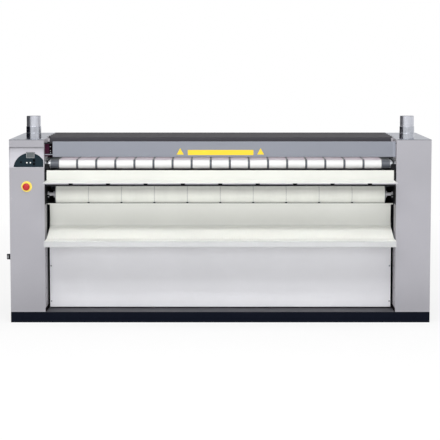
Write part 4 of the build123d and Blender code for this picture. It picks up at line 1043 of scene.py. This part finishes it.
bandWedges = {"count": 1, "pitch": 0.0, "length": 0.017, "depth": 0.008, "thickness": 0.0075, "lean": 0.0}
wedgeRow = {"count": 9, "pitch": 0.28, "y": -0.3632, "above": 0.0058}
places = []
for index in range(wedgeRow["count"]):
    x = (index - (wedgeRow["count"] - 1) / 2) * wedgeRow["pitch"]
    places.append(((x, wedgeRow["y"], trayTop + wedgeRow["above"]), front))
grow(slatTree, "bandWedges", places, bandWedges, "frameBlack", "machine")
print("screws, locks, vent slats, clips and wedges grown")

camera = {
    "lens": 141.16,
    "sensor": 36,
    "reach": 100,
    "distance": 14.374,
    "height": 2.286,
    "x": -0.0025,
    "pitch": 5.64,
}
lens = bpy.data.cameras.new("photoCamera")
lens.sensor_width = camera["sensor"]
lens.lens = camera["lens"]
lens.clip_end = camera["reach"]
view = bpy.data.objects.new("photoCamera", lens)
view.location = (camera["x"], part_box("column_front_left")[0].y - camera["distance"], camera["height"])
view.rotation_euler = (math.radians(90 - camera["pitch"]), 0, 0)
scene.collection.objects.link(view)
scene.camera = view

studio = {
    "sky": 0.48,
    "floorTone": 0.92,
    "floorReach": 60,
    "floorNear": 0.8,
    "floorGloss": 0.3,
    "fadeSeen": (1.5, 9),
    "fadeMirrored": (1, 9),
}
scene.view_settings.view_transform = "Standard"
world = bpy.data.worlds.new("studio")
scene.world = world
world.use_nodes = True
air = graph(world.node_tree)
cameraRay = air.add("ShaderNodeLightPath", out="Is Camera Ray")
shownRay = cameraRay.maths("MAXIMUM", cameraRay.other("Is Glossy Ray"))
shownRay = shownRay.maths("MAXIMUM", cameraRay.other("Is Transmission Ray"))
strength = air.add("ShaderNodeMapRange", None, {"Value": shownRay, "To Min": studio["sky"], "To Max": 1.0})
background = world.node_tree.nodes["Background"]
air.plug(background.inputs["Strength"], strength)
air.plug(background.inputs["Color"], (1, 1, 1, 1))


def softbox(name, place, target, size, power, mirrored=True, spread=180):
    lamp = bpy.data.lights.new(name, "AREA")
    lamp.shape = "RECTANGLE"
    lamp.size, lamp.size_y = size
    lamp.energy = power
    lamp.spread = math.radians(spread)
    lampObject = bpy.data.objects.new(name, lamp)
    lampObject.location = place
    lampObject.rotation_euler = (Vector(target) - Vector(place)).to_track_quat("-Z", "Y").to_euler()
    lampObject.visible_glossy = mirrored
    scene.collection.objects.link(lampObject)


lamps = {
    "keyLight": {"place": (-0.5, -6.4, 5.3), "target": (0, -0.6, 0.8), "size": (6, 1.5), "power": 262},
    "stripLight": {"place": (0, -0.9, 5.0), "target": (0, -0.5, 1.0), "size": (8, 0.8), "power": 60},
    "frontLight": {
        "place": (0, -9.0, 1.5),
        "target": (0, 0, 0.9),
        "size": (8, 2.8),
        "power": 320,
        "mirrored": False,
    },
}
for name, settings in lamps.items():
    softbox(name, **settings)

# a row of narrow lamps that reaches under the shelf, placed and aimed in Y and Z
trayLamps = {
    "count": 4,
    "length": 2.9,
    "depth": 0.3,
    "place": (-3.1, 2.92),
    "target": (-0.68, 0.73),
    "power": 1.9,
    "spread": 16,
}
share = trayLamps["length"] / trayLamps["count"]
for index in range(trayLamps["count"]):
    x = (index - (trayLamps["count"] - 1) / 2) * share
    softbox(
        "trayLight" + str(index),
        (x, *trayLamps["place"]),
        (x, *trayLamps["target"]),
        (share, trayLamps["depth"]),
        trayLamps["power"] / trayLamps["count"],
        mirrored=False,
        spread=trayLamps["spread"],
    )

# a dark card beside the machine that only mirrors see, for the shaded side of the ducts
card = {"x": -5, "front": -3.5, "back": 12, "top": 7, "tone": (0.01, 0.012, 0.018, 1)}
cardMesh = bpy.data.meshes.new("darkCard")
corners = [(card["front"], 0), (card["back"], 0), (card["back"], card["top"]), (card["front"], card["top"])]
cardMesh.from_pydata([(card["x"], y, z) for y, z in corners], [], [(0, 1, 2, 3)])
darkCard = bpy.data.objects.new("darkCard", cardMesh)
darkCard.visible_camera = darkCard.visible_diffuse = darkCard.visible_shadow = False
scene.collection.objects.link(darkCard)
cardMesh.materials.append(look("cardBlack", roughness=1.0, specular=0.0, baseColor=card["tone"]).material)

floorMesh = bpy.data.meshes.new("studioFloor")
reach, tone = studio["floorReach"], studio["floorTone"]
corners = [(-reach, -reach, 0), (reach, -reach, 0), (reach, reach, 0), (-reach, reach, 0)]
floorMesh.from_pydata(corners, [], [(0, 1, 2, 3)])
studioFloor = bpy.data.objects.new("studioFloor", floorMesh)
scene.collection.objects.link(studioFloor)
ground = look("studioGround", roughness=0.9, specular=0.1, baseColor=(tone, tone, tone, 1))
glow = ground.add("ShaderNodeEmission", None, {"Color": (1, 1, 1, 1), "Strength": 1.0})
cameraRay = ground.add("ShaderNodeLightPath", out="Is Camera Ray")
away = ground.add("ShaderNodeVectorMath", {"operation": "LENGTH"}, {0: ground.place}, "Value")
seen = cameraRay * ground.ramp(away, *studio["fadeSeen"], studio["floorNear"], 1)
gloss = ground.ramp(away, *studio["fadeMirrored"], studio["floorGloss"], 1)
reflected = cameraRay.other("Is Glossy Ray") * gloss
diffuse = wire(ground, ground.shader.outputs[0])
blend = ground.add("ShaderNodeMixShader", None, {0: seen.maths("MAXIMUM", reflected), 1: diffuse, 2: glow})
ground.plug(ground.tree.nodes["Material Output"].inputs["Surface"], blend)
floorMesh.materials.append(ground.material)
print("camera and light set")
